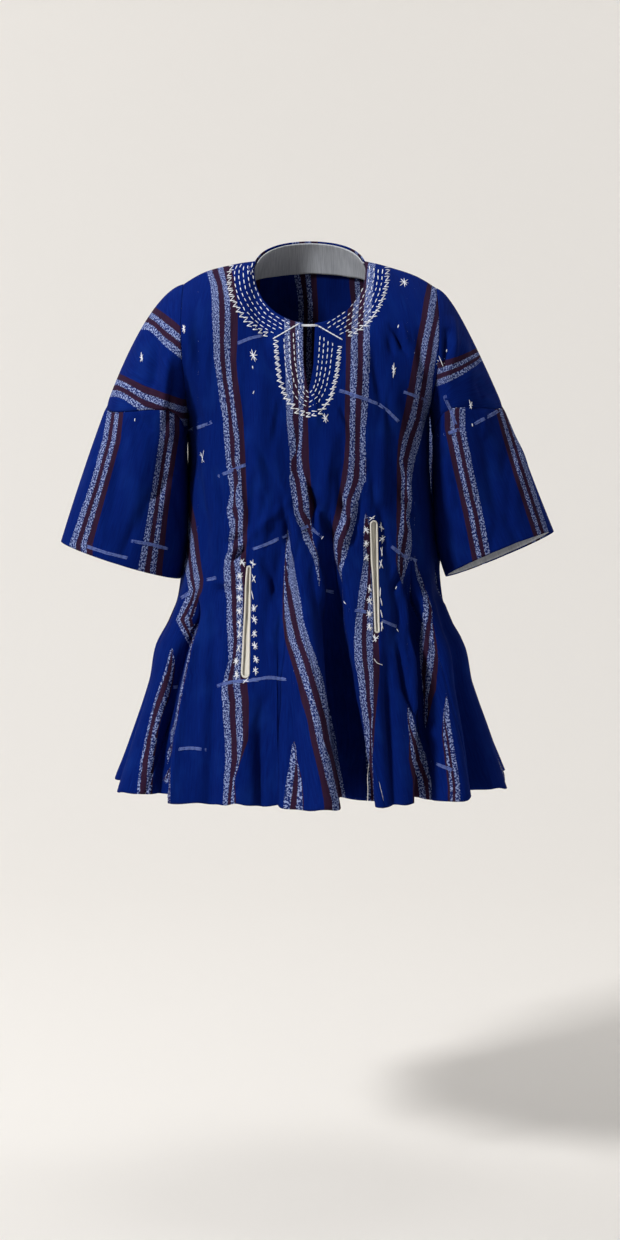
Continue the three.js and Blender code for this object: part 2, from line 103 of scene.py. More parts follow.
# Folds of the skirt: place at the top, place at the hem, height of the top, depth, half width, lean
FRONT_FOLDS = [
    (-0.94, -0.88, -325, -9, 0.06, 0), (-0.84, -0.75, -315, 9, 0.09, 0),
    (-0.71, -0.6, -305, -30, 0.07, 0), (-0.66, -0.5, -300, 11, 0.075, -0.8),
    (-0.3, -0.27, -330, 5, 0.09, 0), (-0.21, -0.13, -250, -9, 0.06, 0),
    (-0.12, 0.03, -230, 25, 0.13, 0.35), (0.13, 0.17, -225, -41, 0.1, 0),
    (0.36, 0.31, -260, 9, 0.13, 0), (0.68, 0.48, -275, -23, 0.075, 0),
    (0.76, 0.58, -300, 9, 0.06, -0.4), (0.82, 0.69, -310, -17, 0.06, 0),
    (0.91, 0.81, -310, 7, 0.08, 0),
]
BACK_FOLDS = [
    (-0.9, -0.88, -320, -9, 0.07, 0), (-0.78, -0.74, -305, 11, 0.09, 0.2),
    (-0.66, -0.57, -290, -26, 0.08, 0), (-0.5, -0.4, -280, 12, 0.1, -0.3),
    (-0.28, -0.24, -262, -22, 0.08, 0), (-0.1, -0.05, -255, 17, 0.12, 0.3),
    (0.13, 0.13, -250, -26, 0.1, 0), (0.3, 0.29, -270, 10, 0.09, 0),
    (0.5, 0.43, -280, -18, 0.07, 0), (0.62, 0.57, -290, 13, 0.09, 0.3),
    (0.74, 0.71, -300, -21, 0.07, 0), (0.88, 0.86, -315, 9, 0.08, 0),
]

# Gores: name, row of the point, place of the point, left and right corners at the hem
FRONT_GORES = [
    ("gore_front_outer_left", 9, -0.71, -0.66, -0.5), ("gore_front_left", 5, -0.16, -0.11, 0.11),
    ("gore_front_right", 5, 0.15, 0.21, 0.28), ("gore_front_outer_right", 7, 0.66, 0.5, 0.64),
]
BACK_GORES = [
    ("gore_back_outer_left", 8, -0.64, -0.66, -0.5), ("gore_back_left", 6, -0.22, -0.3, -0.14),
    ("gore_back_right", 6, 0.22, 0.16, 0.31), ("gore_back_outer_right", 8, 0.64, 0.5, 0.66),
]
SIDE_GORE_ROW = 9
SIDE_GORE_HALF = 0.14

# Slit below the neck: height, left edge, right edge
NECK_SLIT = [(-30, -7.2, 5.8), (-40, -7, 5.4), (-92, -6, 3.4), (-101.4, -4.3, 1.9),
             (-108.8, -3, 0.5), (-114, -2, -0.6), (-117, -1.3, -1.3)]
# Pocket slits: side, top, foot, half widths, and the cream edges' inner half widths
POCKETS = [("left", -59.5, -288, -62.2, -387, 2.7, 4.6, 0.7, 2.4),
           ("right", 62, -246, 64.7, -347, 4.3, 2.7, 2.3, 0.7)]

# Sleeves: side, sign, outer corner, inner corner of the cuff, tip, cap
SLEEVES = [("left", -1, 249, -270, 131, -307, 0, 40), ("right", 1, 244, -261, 137, -305, 0.22, 24)]
CUFF_DEPTH = 47
UNDERARM_CLEAR = 1
UNDERARM_CAP = 8
SEAM_GAP = 0.3
SEAM_AT_TOP = 0.62
SEAM_AT_UNDERARM = 0.14

# Groove along a seam: depth, half width, cloth to one unit of place, and how fast it starts
SEAM_DEPTH = 0.9
SEAM_WIDE = 2.2
PLACE_SPAN = 165
SEAM_FADE = 12
SLEEVE_SEAM_WIDE = 2.4
SLEEVE_SPAN = 190

# Rows and columns of the cloth grids
SKIRT_ROWS, YOKE_ROWS = 131, 60
BACK_SKIRT_ROWS, BACK_YOKE_ROWS = 121, 54
FRONT_COLUMNS, BACK_COLUMNS = [30, 54, 40, 54, 30], [26, 44, 42, 44, 26]
GORE_ROWS, SIDE_GORE_ROWS, GORE_COLUMNS = 96, 80, 30
GORE_POINT_GAP = 1.5
SLEEVE_TURNS = 161
SLEEVE_ROWS = {"upper": 56, "lower": 70}
SLEEVE_SEAM_HALF = 0.0012
CUFF_LINING_SPAN, CUFF_LINING_ROWS = (0.88, 0.994), 14
NECK_LINING_SPAN, NECK_LINING_SHAPE = (0.72, 0.996), (24, 81)

# Places across the middle of the front, and how near in millimetres they count when one is looked up
MIDDLE_PLACES = np.linspace(-0.62, 0.62, 1241)
NEAR_X = 25

# Waves of the hem: height, turns across and share of the phase, and how far up they reach
HEM_WAVES = [(1.3, 19, 1), (0.8, 43, 2), (0.5, 83, 0)]
HEM_WAVE_REACH = 14


def table_curve(rows):
    """Smooth curve through a table: cubic pieces, each slope taken from the rows on both sides."""
    rows = np.array(sorted(rows), float)
    key = rows[:, 0]
    order = np.arange(len(key))
    low, high = np.maximum(order - 1, 0), np.minimum(order + 1, len(key) - 1)
    slopes = (rows[high] - rows[low]) / (key[high] - key[low])[:, None]

    def value(column, at):
        at = np.clip(at, key[0], key[-1])
        i = np.clip(np.searchsorted(key, at, side="right") - 1, 0, len(key) - 2)
        span = key[i + 1] - key[i]
        t = (at - key[i]) / span
        start, end = rows[i, column], rows[i + 1, column]
        rise, fall = slopes[i, column] * span, slopes[i + 1, column] * span
        return start + t * (rise + t * (3 * (end - start) - 2 * rise - fall
                                        + t * (2 * (start - end) + rise + fall)))
    return value


body_size = table_curve(BODY)
shoulder_line = table_curve(SHOULDER)
chest_round = table_curve(CHEST)


def fold_push(at, z, folds):
    """Push of the folds: each is its depth times how far it has grown, times (1 - reach squared)
    squared across its width; the lean's share of it goes aside."""
    out, aside = np.zeros_like(at), np.zeros_like(at)
    for top, hem, start, depth, half, lean in folds:
        grown = np.clip((start - z) / (start - HEM), 0, 1)
        reach = (at - (top + (hem - top) * grown)) / half
        push = depth * grown * np.clip(1 - reach ** 2, 0, None) ** 2
        out += push
        aside += lean * push
    return out, aside


def body_points(place, z):
    """Rounded oval at each height, radius = (|sin/half|^n + |cos/depth|^n)^(-1/n), plus the folds.
    Places -1 to 1 are the front from side to side, and beyond them the back."""
    place, z = np.broadcast_arrays(np.asarray(place, float), np.asarray(z, float))
    is_back = np.abs(place) > 1
    at = np.where(is_back, np.sign(place) * (2 - np.abs(place)), place)
    sine, cosine = np.sin(at * math.pi / 2), np.cos(at * math.pi / 2)
    n = body_size(4, z)
    depth = np.where(is_back, body_size(3, z), body_size(2, z))
    out = (np.abs(sine / body_size(1, z)) ** n + np.abs(cosine / depth) ** n) ** (-1 / n)
    front, back = fold_push(at, z, FRONT_FOLDS), fold_push(at, z, BACK_FOLDS)
    out = out + np.where(is_back, back[0], front[0])
    aside = np.where(is_back, back[1], front[1])
    y = out * cosine - aside * sine
    return np.stack([out * sine + aside * cosine, np.where(is_back, y, -y), z + 0 * y], -1)


def top_points(at, is_back):
    """Top edge: the neck's sloping oval up to the neck's share, then the shoulder line."""
    share = np.abs(at)
    sign = np.where(at < 0, -1.0, 1.0)
    part = np.clip(share / NECK_SHARE, 0, 1)
    turn = math.pi - (math.pi - NECK_TURN) * part if is_back else NECK_TURN * part
    cosine = np.cos(turn)
    y = np.where(cosine > 0, -NECK_FRONT, -NECK_BACK) * cosine
    up = NECK_SLOPE * y - np.where(y > 0, NECK_BACK_EASE * y * y, 0)
    neck = np.stack([sign * NECK_HALF * np.sin(turn), y, up], -1)
    outward = np.clip((share - NECK_SHARE) / (1 - NECK_SHARE), 0, 1)
    across = SHOULDER[0][0] + (SHOULDER[-1][0] - SHOULDER[0][0]) * outward
    drop = np.where(sign > 0, RIGHT_SHOULDER_DROP, 0) * np.sin(math.pi / 2 * outward)
    gap = SEAM_GAP / 2 if is_back else -SEAM_GAP / 2
    line = np.stack([sign * across, shoulder_line(1, across) + gap,
                     shoulder_line(2, across) - drop], -1)
    return np.where((share <= NECK_SHARE)[..., None], neck, line)


def around(at, is_back):
    """Place on the whole way round of a place across the front or the back."""
    return np.where(at < 0, -1.0, 1.0) * (2 - np.abs(at)) if is_back else at


def yoke_points(at, rise, is_back):
    """Chest or upper back: a parabola from the armpit row over the chest point to the top edge."""
    at, rise = np.broadcast_arrays(np.asarray(at, float), np.asarray(rise, float))
    share = np.abs(at)
    depth = chest_round(4, share) if is_back else -chest_round(2, share)
    up = chest_round(5 if is_back else 3, share)
    middle = np.stack([np.sign(at) * chest_round(1, share), depth, up], -1)
    low = body_points(around(at, is_back), ARMPIT)
    t = rise[..., None]
    return low * (1 - t) ** 2 + 2 * t * (1 - t) * middle + t * t * top_points(at, is_back)


def cloth_points(at, v, is_back):
    """Front or back at a place across and a height v, which runs on from the armpits to 0 at the top."""
    at, v = np.broadcast_arrays(np.asarray(at, float), np.asarray(v, float))
    skirt = body_points(around(at, is_back), np.minimum(v, ARMPIT))
    yoke = yoke_points(at, np.clip(1 - v / ARMPIT, 0, 1), is_back)
    return np.where((v > ARMPIT)[..., None], yoke, skirt)


def sleeve_points(sleeve, turn, along):
    """Sleeve: a cubic curve from the armhole to the oval cuff at each turn. Turn 0 is on top of
    the shoulder, a quarter is the front and a half is under the arm."""
    _, sign, outer_x, outer_z, inner_x, inner_z, tip, cap = sleeve
    turn, along = np.broadcast_arrays(np.asarray(turn, float), np.asarray(along, float))
    turn = turn % 1
    is_back = turn > 0.5
    rise = np.where(is_back, 2 * turn - 1, 1 - 2 * turn)
    side_at = np.full_like(turn, sign)
    start = np.where(is_back[..., None], yoke_points(side_at, rise, True),
                     yoke_points(side_at, rise, False))
    under = (1 - np.cos(2 * math.pi * turn)) / 2
    sine = np.sin(2 * math.pi * turn)
    start = start + np.stack([sign * (SEAM_GAP + UNDERARM_CLEAR * under ** 2), 0 * under, 0 * under], -1)
    outer = np.array([sign * outer_x, 0.0, outer_z])
    inner = np.array([sign * inner_x, 0.0, inner_z])
    end = outer + (inner - outer) * under[..., None]
    depth = -CUFF_DEPTH * sine
    end = end + np.stack([0 * depth, depth, -tip * depth], -1)
    down = (inner - outer) / np.linalg.norm(inner - outer)
    armward = np.array([sign * abs(down[2]), 0.0, -abs(down[0])])
    span = np.linalg.norm(end - start, axis=-1)
    first = start + np.stack([sign * (cap + (UNDERARM_CAP - cap) * under), -5 * sine,
                              -10 - 35 * under], -1)
    second = end - armward * (span * (0.47 - 0.13 * under))[..., None]
    t = along[..., None]
    return (start * (1 - t) ** 3 + 3 * first * t * (1 - t) ** 2 + 3 * second * t * t * (1 - t)
            + end * t ** 3)


def to_photo(points):
    """Photo pixel of each point: its place across and up over its distance along the view."""
    view = points - CAMERA_AT
    axis = view @ FORWARD
    return np.stack([PHOTO_WIDTH / 2 + FOCAL_PIXELS * view[..., 0] / axis,
                     PHOTO_HEIGHT / 2 - FOCAL_PIXELS * (view @ UPWARD) / axis], -1)


def grid_normals(points):
    """Normals of a grid: cross product of its steps across and up, turned outwards later."""
    across, up = np.gradient(points, axis=1), np.gradient(points, axis=0)
    normal = np.cross(across, up)
    return normal / np.maximum(np.linalg.norm(normal, axis=-1, keepdims=True), 1e-9)


def outward_normals(points, ring=False):
    """Grid normals that point away from the body's axis, or from a sleeve's own middle line."""
    normal = grid_normals(points)
    centre = points.mean(axis=1, keepdims=True) if ring else np.array([0.0, 0.0, 0.0])
    away = (points - centre) * (1.0 if ring else np.array([1.0, 1.0, 0.0]))
    return normal if (normal * away).sum() > 0 else -normal


def line_push(flat, lines):
    """Soft troughs and ridges along straight lines on the flat view: depth times a bell across the
    line, with a half sine wave along it."""
    push = np.zeros(flat.shape[:-1])
    for x0, y0, x1, y1, depth, wide in lines:
        start, run = np.array([x0, y0], float), np.array([x1 - x0, y1 - y0], float)
        length = np.linalg.norm(run)
        offset = flat - start
        t = (offset @ run) / length ** 2
        aside = (offset[..., 0] * run[1] - offset[..., 1] * run[0]) / length
        along = np.sin(math.pi * np.clip(t * 0.9 + 0.05, 0, 1)) ** 0.8
        push += depth * np.exp(-(aside / wide) ** 2) * along
    return push


def make_mesh(name, points, faces, layers=(), material=None):
    """Mesh object in metres from points, faces and UV layers given for each point."""
    mesh = bpy.data.meshes.new(name)
    mesh.from_pydata((np.asarray(points) * MM).tolist(), [], [list(face) for face in faces])
    corner = np.empty(len(mesh.loops), int)
    mesh.loops.foreach_get("vertex_index", corner)
    for label, values in layers:
        layer = mesh.uv_layers.new(name=label)
        layer.data.foreach_set("uv", np.asarray(values, float)[corner].ravel())
    mesh.polygons.foreach_set("use_smooth", np.ones(len(mesh.polygons), bool))
    mesh.update()
    piece = bpy.data.objects.new(name, mesh)
    bpy.context.scene.collection.objects.link(piece)
    if material:
        mesh.materials.append(material)
    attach(piece, "root")
    return piece


def cloth_piece(name, points, keep, layers, material, thickness=CLOTH, ring=False):
    """Shell of cloth over a grid: cells that keep doesn't hold are open, points that meet are joined,
    and Solidify gives the wall."""
    rows, columns = points.shape[:2]
    normal = outward_normals(points, ring)
    is_turned = (grid_normals(points) * normal).sum() < 0
    flat = points.reshape(-1, 3)
    found, first, place = np.unique(np.round(flat / 1e-3).astype(np.int64), axis=0,
                                    return_index=True, return_inverse=True)
    index = place.reshape(rows, columns)
    cells = np.stack([index[:-1, :-1], index[:-1, 1:], index[1:, 1:], index[1:, :-1]], -1)[keep]
    if is_turned:
        cells = cells[:, ::-1]
    faces = []
    for cell in cells.tolist():
        corners = list(dict.fromkeys(cell))
        if len(corners) > 2:
            faces.append(corners)
    used = np.unique(np.concatenate([np.array(face) for face in faces]))
    renumber = np.full(len(found), -1)
    renumber[used] = np.arange(len(used))
    faces = [[int(renumber[i]) for i in face] for face in faces]
    kept = first[used]
    values = [(label, value.reshape(-1, 2)[kept]) for label, value in layers]
    piece = make_mesh(name, flat[kept], faces, values, material)
    wall = piece.modifiers.new("wall", "SOLIDIFY")
    wall.thickness = thickness * MM
    wall.offset = 0
    return piece


def surface_normals(surface, u, v):
    """Outward normals of a two-parameter surface: cross product of its steps in both parameters."""
    across = surface(u + STEP, v) - surface(u - STEP, v)
    up = surface(u, v + STEP) - surface(u, v - STEP)
    normal = np.cross(across, up)
    return normal / np.maximum(np.linalg.norm(normal, axis=-1, keepdims=True), 1e-9)


def bell(distance, wide):
    """Smooth bump: e to the minus (distance over width) squared."""
    return np.exp(-(distance / wide) ** 2)


def seam_dip(at, v, edges):
    """Shallow groove along each seam: a bell of the distance to the seam's edge."""
    dip = np.zeros(np.broadcast(at, v).shape)
    for edge, opens in edges:
        groove = SEAM_DEPTH * bell((at - edge) * PLACE_SPAN, SEAM_WIDE)
        dip -= groove * np.clip((opens - v) / SEAM_FADE, 0, 1)
    return dip


def cloth_measure(points):
    """Length across, as the mean of all rows so that yarns follow the columns, and up, in centimetres."""
    step = np.linalg.norm(np.diff(points, axis=1), axis=-1)
    across = np.concatenate([np.zeros((len(points), 1)), np.cumsum(step, axis=1)], axis=1)
    across = np.broadcast_to(across.mean(axis=0), across.shape) - across.mean()
    rise = np.linalg.norm(np.diff(points, axis=0), axis=-1).mean(axis=1)
    up = np.concatenate([[0.0], np.cumsum(rise)])
    return np.stack([across / 10, np.broadcast_to(up[:, None] / 10, across.shape)], -1)


def gore_edge(gore, side, v):
    """Place of a gore's left or right edge at each height, on a straight line from its point."""
    _, row, apex, left, right = gore
    level = SKIRT_LEVELS[row]
    grown = np.clip((level - v) / (level - HEM), 0, None)
    return apex + ((left if side == "left" else right) - apex) * grown


def side_edge(v):
    """Place where the front or the back ends beside the side gore, at each height."""
    level = SKIRT_LEVELS[SIDE_GORE_ROW]
    return 1 - SIDE_GORE_HALF * np.clip((level - v) / (level - HEM), 0, None)


def seam_share(at, v, is_back):
    """Half of a seam's gap as a share of the way across: the gap over the cloth's length there."""
    place = around(at, is_back)
    run = np.linalg.norm(body_points(place + STEP, v) - body_points(place - STEP, v), axis=-1)
    return SEAM_GAP * STEP / run


def strip_edges(gores, v, is_back):
    """Left and right edge of each long strip at each height."""
    low = np.minimum(v, ARMPIT)
    side = side_edge(low)
    edges = [-side + seam_share(-side, low, is_back)]
    for gore in gores:
        is_open = low < SKIRT_LEVELS[gore[1]]
        left, right = gore_edge(gore, "left", low), gore_edge(gore, "right", low)
        edges.append(left - seam_share(left, low, is_back) * is_open)
        edges.append(right + seam_share(right, low, is_back) * is_open)
    edges.append(side - seam_share(side, low, is_back))
    return [(edges[i], edges[i + 1]) for i in range(0, len(edges), 2)]


def slit_in_strip(v, edges, count, low, high, middle, half):
    """Places of a slit's two edges in a strip, where the cloth's x meets the middle line's x plus
    and minus its half width. Beyond its ends the two columns lie one cell apart."""
    is_in = (v >= low - 1e-6) & (v <= high + 1e-6)
    rows = np.flatnonzero(is_in)
    left, right = np.full(len(v), np.nan), np.full(len(v), np.nan)
    points = cloth_points(MIDDLE_PLACES[None, :], v[rows][:, None], False)
    for i, row in enumerate(rows):
        height = np.interp(0, MIDDLE_PLACES, points[i, :, 2]) if low > ARMPIT else v[row]
        centre, wide = middle(height), half(height)
        near = np.abs(points[i, :, 0] - centre) < NEAR_X
        left[row] = np.interp(centre - wide, points[i, near, 0], MIDDLE_PLACES[near])
        right[row] = np.interp(centre + wide, points[i, near, 0], MIDDLE_PLACES[near])
    centre = (left + right) / 2
    centre = np.interp(v, v[rows], centre[rows])
    cell = (edges[1] - edges[0]) / count / 2
    left = np.where(is_in, left, centre - cell)
    right = np.where(is_in, right, centre + cell)
    return left, right, is_in


def heights(extra=(), skirt=SKIRT_ROWS, yoke=YOKE_ROWS):
    """Rows from the hem to the top edge, with the slits' ends among them."""
    plain = np.concatenate([np.linspace(HEM, ARMPIT, skirt), np.linspace(ARMPIT, 0, yoke)[1:]])
    extra = np.array(sorted(extra), float)
    if len(extra):
        plain = plain[np.abs(plain[:, None] - extra).min(axis=1) > 0.8]
    rows = np.sort(np.concatenate([plain, extra, [HEM, 0.0]]))
    return rows[np.concatenate([[True], np.diff(rows) > 1e-6])]


def strips_grid(gores, counts, v, slits, is_back=False):
    """Places across for all long strips, and which cells hold cloth. A slit is two columns that
    follow its edges, with no cloth between them."""
    parts, open_columns, column = [], [], 0
    for i, ((start, end), count) in enumerate(zip(strip_edges(gores, v, is_back), counts)):
        if i in slits:
            left, right, is_in = slit_in_strip(v, (start, end), count, *slits[i])
            share = (np.mean(left) - np.mean(start)) / (np.mean(end) - np.mean(start))
            first = max(2, round(count * share))
            knots = [(start, left, first), (right, end, count - first)]
            open_columns.append((column + first, is_in))
        else:
            knots = [(start, end, count)]
        for low, high, steps in knots:
            t = np.linspace(0, 1, steps + 1)
            parts.append(low[:, None] + (high - low)[:, None] * t)
            column += steps + 1
        open_columns.append((column - 1, np.ones(len(v), bool)))
    at = np.concatenate(parts, axis=1)
    keep = np.ones((len(v) - 1, at.shape[1] - 1), bool)
    for place, is_open in open_columns[:-1]:
        keep[:, place] = ~(is_open[:-1] & is_open[1:])
    return at, keep


def hem_wave(at, v, phase):
    """Small rise and fall of the hem: sine waves that fade out a little way above it."""
    wave = sum(height * np.sin(at * turns + share * phase) for height, turns, share in HEM_WAVES)
    return wave * bell(v - HEM, HEM_WAVE_REACH)


def trough_push(flat, troughs):
    """Long folds down the cloth: at each pixel height a bell across the fold, whose middle, depth and
    half width are read from its rows."""
    push = np.zeros(flat.shape[:-1])
    for rows in troughs:
        table = np.array(rows, float)
        middle, depth, half = (np.interp(flat[..., 1], table[:, 0], table[:, i]) for i in (1, 2, 3))
        push += depth * np.exp(-((flat[..., 0] - middle) / half) ** 2)
    return push


# Creases: from pixel, to pixel, depth and half width, on the photo's view of the front
CREASE_DEPTH = 2.6
FRONT_LINES = [
    (268, 560, 276, 660, -1.6, 9), (283, 498, 287, 545, -2, 4), (193, 600, 196, 640, -2.4, 6),
    (243.5, 548, 232.5, 559, -1.8, 2), (216, 587, 230, 590, -1.6, 2), (286, 519, 285, 547, -1.8, 2.2),
    (341, 498, 350, 522, -1.8, 2), (389, 325, 407, 355, -1.4, 2), (392, 332, 400, 350, 1.0, 2),
    (340, 408, 350, 428, -1.3, 2.2), (298, 500, 306, 524, 1.4, 3), (256, 470, 250, 528, -1.5, 4),
    (316, 560, 322, 604, 1.6, 5), (380, 505, 388, 560, -1.5, 4), (270, 500, 262, 548, 1.4, 4),
    (196, 300, 199, 470, -1.6, 7), (262, 360, 256, 520, 1.4, 9), (243, 380, 246, 520, -1.2, 6),
    (330, 430, 322, 520, 1.5, 8), (372, 350, 392, 440, -1.2, 6), (395, 328, 402, 350, -1.6, 3),
    (401, 324, 409, 343, 1.2, 2.5), (388, 338, 393, 356, -1.1, 2.5), (418, 330, 425, 380, -1.4, 5),
    (186, 330, 205, 420, 1.6, 6), (430, 380, 424, 500, -1.8, 6), (192, 430, 206, 560, -2.0, 5),
    (215, 470, 226, 520, -1.5, 4), (236, 468, 246, 528, 1.4, 4), (224, 545, 248, 532, -2.2, 4),
    (230, 563, 245, 545, -2.6, 3), (212, 586, 238, 591, -2.0, 3), (246, 540, 290, 500, 1.4, 5),
    (292, 500, 310, 535, -1.8, 4), (310, 486, 319, 512, -3.0, 3), (318, 500, 336, 548, -2.6, 4),
    (338, 470, 343, 520, -1.5, 5), (351, 505, 338, 560, 2.0, 4), (362, 498, 352, 545, -1.8, 4),
    (398, 478, 410, 516, -1.9, 4), (409, 470, 403, 540, 1.5, 4), (414, 546, 428, 600, -2.0, 4),
    (286, 535, 262, 640, -1.4, 6), (300, 600, 318, 720, 1.2, 8), (262, 560, 282, 600, -1.8, 4),
    (256, 705, 262, 800, -1.6, 8), (288, 690, 300, 800, -1.4, 7), (390, 560, 404, 640, -1.5, 5),
    (386, 660, 396, 780, -1.6, 8), (418, 640, 414, 780, 1.4, 6), (208, 640, 203, 780, 1.2, 7),
    (222, 520, 218, 600, -1.3, 5), (176, 500, 186, 560, -2.2, 5), (436, 500, 440, 600, -2.2, 6),
    (250, 300, 268, 345, -0.9, 5), (350, 345, 362, 420, 1.1, 6), (300, 430, 297, 500, -1.0, 6),
    (270, 420, 282, 500, 1.0, 7), (384, 420, 380, 500, 1.1, 6), (404, 560, 396, 590, -1.6, 3),
]
TROUGH_DEPTH = 1.8
# Long folds of the front: height, middle, depth and half width
FRONT_TROUGHS = [
    [(500, 328.5, 0, 3), (520, 328.5, -2.5, 3.5), (560, 331, -4.5, 4), (580, 335, -6, 5.5),
     (620, 332.5, -8, 7),
     (660, 337, -13, 8), (700, 342, -15, 9), (740, 348, -15, 10), (780, 356, -14, 10),
     (815, 362, -13, 9)],
    [(590, 196, 0, 3), (630, 193, -4, 4), (660, 181, -6, 6), (700, 172.5, -8, 7), (740, 166, -8, 7.5),
     (800, 160, -8, 7.5)],
    [(612, 200, 0, 3), (630, 197, 2.5, 3.5), (700, 181, 3, 4), (794, 169, 3, 4)],
    [(550, 403, 0, 3), (580, 408, -4, 5), (600, 415, -7, 5), (630, 417.5, -7, 5), (660, 421.5, -6, 4.2),
     (700, 422, -6, 4.5), (740, 424, -5, 4.5), (790, 430, -3, 4)],
    [(640, 398, 0, 3), (655, 400, -4, 3), (690, 406, -5, 3.2), (722, 418, -3, 3)],
    [(476, 306, 0, 2.2), (490, 311, -3.5, 2.5), (505, 314, -4, 2.5), (522, 314, -2.5, 2.5),
     (540, 318, 0, 3)],
    [(560, 270, 0, 8), (620, 272, 3, 9), (720, 280, 4, 10), (812, 286, 4, 11)],
    [(560, 305, 0, 6), (620, 309, 2.5, 8), (720, 318, 3, 9), (812, 326, 3, 9)],
    [(640, 388, 0, 5), (700, 390, -3.5, 6), (800, 396, -4.5, 7)],
    [(600, 214, 0, 5), (680, 212, -2.5, 6), (800, 208, -3.5, 7)],
    [(690, 262, 0, 5), (740, 262, -3.5, 6), (805, 262, -4.5, 6)],
]
BACK_LINES = [
    (200, 300, 214, 420, -1.6, 7), (232, 320, 226, 450, 1.3, 9), (258, 300, 262, 430, -1.1, 8),
    (300, 280, 305, 420, 1.2, 10), (340, 310, 330, 440, -1.3, 7), (372, 300, 378, 420, 1.4, 8),
    (408, 310, 396, 430, -1.7, 6), (425, 350, 420, 480, 1.5, 6), (190, 400, 200, 520, -2.2, 6),
    (216, 450, 238, 520, -1.8, 4), (246, 470, 262, 540, 1.6, 5), (280, 460, 268, 530, -2.0, 5),
    (300, 480, 318, 560, -1.8, 5), (340, 470, 326, 540, 1.6, 5), (362, 480, 374, 560, -2.2, 4),
    (398, 470, 386, 540, -1.9, 5), (415, 500, 404, 590, 1.5, 5), (230, 560, 262, 548, -1.5, 4),
    (330, 560, 364, 552, -1.4, 4), (240, 600, 232, 720, -1.6, 7), (286, 590, 292, 700, 1.4, 7),
    (352, 600, 362, 720, -1.5, 7), (388, 590, 398, 700, 1.6, 6), (206, 600, 196, 720, 1.5, 6),
    (310, 640, 306, 760, 1.2, 8), (270, 700, 262, 800, -1.3, 8), (420, 620, 432, 730, -1.7, 6),
]
SLEEVE_LINES = {
    "left": [(160, 330, 150, 400, -2.0, 5), (172, 355, 166, 408, 2.0, 4), (178, 372, 170, 420, -2.6, 4),
             (150, 300, 134, 352, 1.4, 7), (136, 410, 152, 430, -1.5, 4), (126, 424, 112, 520, -1.4, 6),
             (146, 440, 132, 545, 1.3, 8), (168, 440, 160, 500, -2.0, 5), (100, 440, 84, 530, 1.2, 7),
             (150, 500, 176, 470, -1.6, 5), (120, 560, 150, 500, -1.0, 6)],
    "right": [(446, 330, 442, 372, -2.4, 4), (453, 318, 450, 362, 1.6, 4), (462, 340, 470, 400, 1.2, 8),
              (446, 400, 452, 440, -1.8, 5), (460, 430, 478, 540, 1.3, 8), (480, 430, 500, 540, -1.4, 7),
              (512, 430, 536, 530, 1.2, 8), (444, 450, 462, 520, -2.0, 5), (470, 380, 500, 400, -1.0, 5),
              (450, 480, 486, 520, -1.3, 5), (500, 500, 520, 556, -1.1, 6)],
}


def small_creases(count, left, right, top, foot, seed):
    """Short soft creases at seeded places, most of them nearly upright."""
    draw = np.random.default_rng(seed)
    x, y = draw.uniform(left, right, count), draw.uniform(top, foot, count)
    length, slant = draw.uniform(24, 64, count), draw.normal(0, 0.17, count)
    depth = draw.uniform(0.25, 0.75, count) * draw.choice([-1, 1], count)
    return list(zip(x, y, x + slant * length, y + length, depth, draw.uniform(2.6, 5, count)))


FRONT_LINES += small_creases(95, 182, 436, 290, 740, 3) + small_creases(28, 262, 348, 500, 740, 5)
BACK_LINES += small_creases(110, 182, 436, 270, 740, 9)
SLEEVE_LINES["left"] += small_creases(22, 95, 180, 310, 530, 11)
SLEEVE_LINES["right"] += small_creases(22, 440, 525, 310, 530, 13)


# Front, back and gores
# Fill under the left and the right arm, its levels and shares, where it is centred and its half width
SIDE_FILL = (11.5, 14)
SIDE_FILL_LEVELS = ([-330, -290, -158, -118], [0, 1, 1, 0])
SIDE_FILL_BEHIND = 0.16
SIDE_FILL_WIDE = 0.17
# Place where the long folds have faded out towards the side, and the width over which they do
TROUGH_EDGE = 0.93
TROUGH_FADE = 0.07
# Slow unevenness, and its shift on the back
UNEVEN_DEPTH = 0.35
BACK_SHIFT = 1.7
# Creases fade towards the top edge: height in cloth where they would end, and length of the fade
TOP_FADE_END = 6
TOP_FADE = 40


def side_fill(at, v, is_back):
    """Loose cloth under each arm: a bell centred a little behind the side, down to the waist."""
    share = np.abs(at)
    distance = share - (1 - SIDE_FILL_BEHIND) if is_back else 1 + SIDE_FILL_BEHIND - share
    amount = np.where(at < 0, SIDE_FILL[0], SIDE_FILL[1])
    return amount * bell(distance, SIDE_FILL_WIDE) * np.interp(v, *SIDE_FILL_LEVELS)


def strip_seams(gores, v):
    """The seams that a long strip shares: place at each height, and the height where it opens."""
    low = np.minimum(v, ARMPIT)
    seams = []
    for gore in gores:
        for side in ("left", "right"):
            seams.append((gore_edge(gore, side, low), SKIRT_LEVELS[gore[1]]))
    seams.append((-side_edge(low), ARMPIT))
    seams.append((side_edge(low), ARMPIT))
    return seams


def body_push(at, v, is_back, surface):
    """All that the cloth does beyond its main form: creases, seam grooves and slow unevenness."""
    flat = to_photo(surface(at, v) * (np.array([1, -1, 1]) if is_back else 1))
    push = line_push(flat, BACK_LINES if is_back else FRONT_LINES) * CREASE_DEPTH
    if not is_back:
        fade = np.clip((TROUGH_EDGE - np.abs(at)) / TROUGH_FADE, 0, 1)
        push += TROUGH_DEPTH * trough_push(flat, FRONT_TROUGHS) * fade
    push += side_fill(at, v, is_back)
    push += seam_dip(at, v, strip_seams(BACK_GORES if is_back else FRONT_GORES, v))
    shift = BACK_SHIFT if is_back else 0
    push += UNEVEN_DEPTH * np.sin(at * 31 + v * 0.013 + shift) * np.sin(v * 0.021 + at * 5 + shift)
    return push * np.clip((TOP_FADE_END - v) / TOP_FADE, 0, 1)


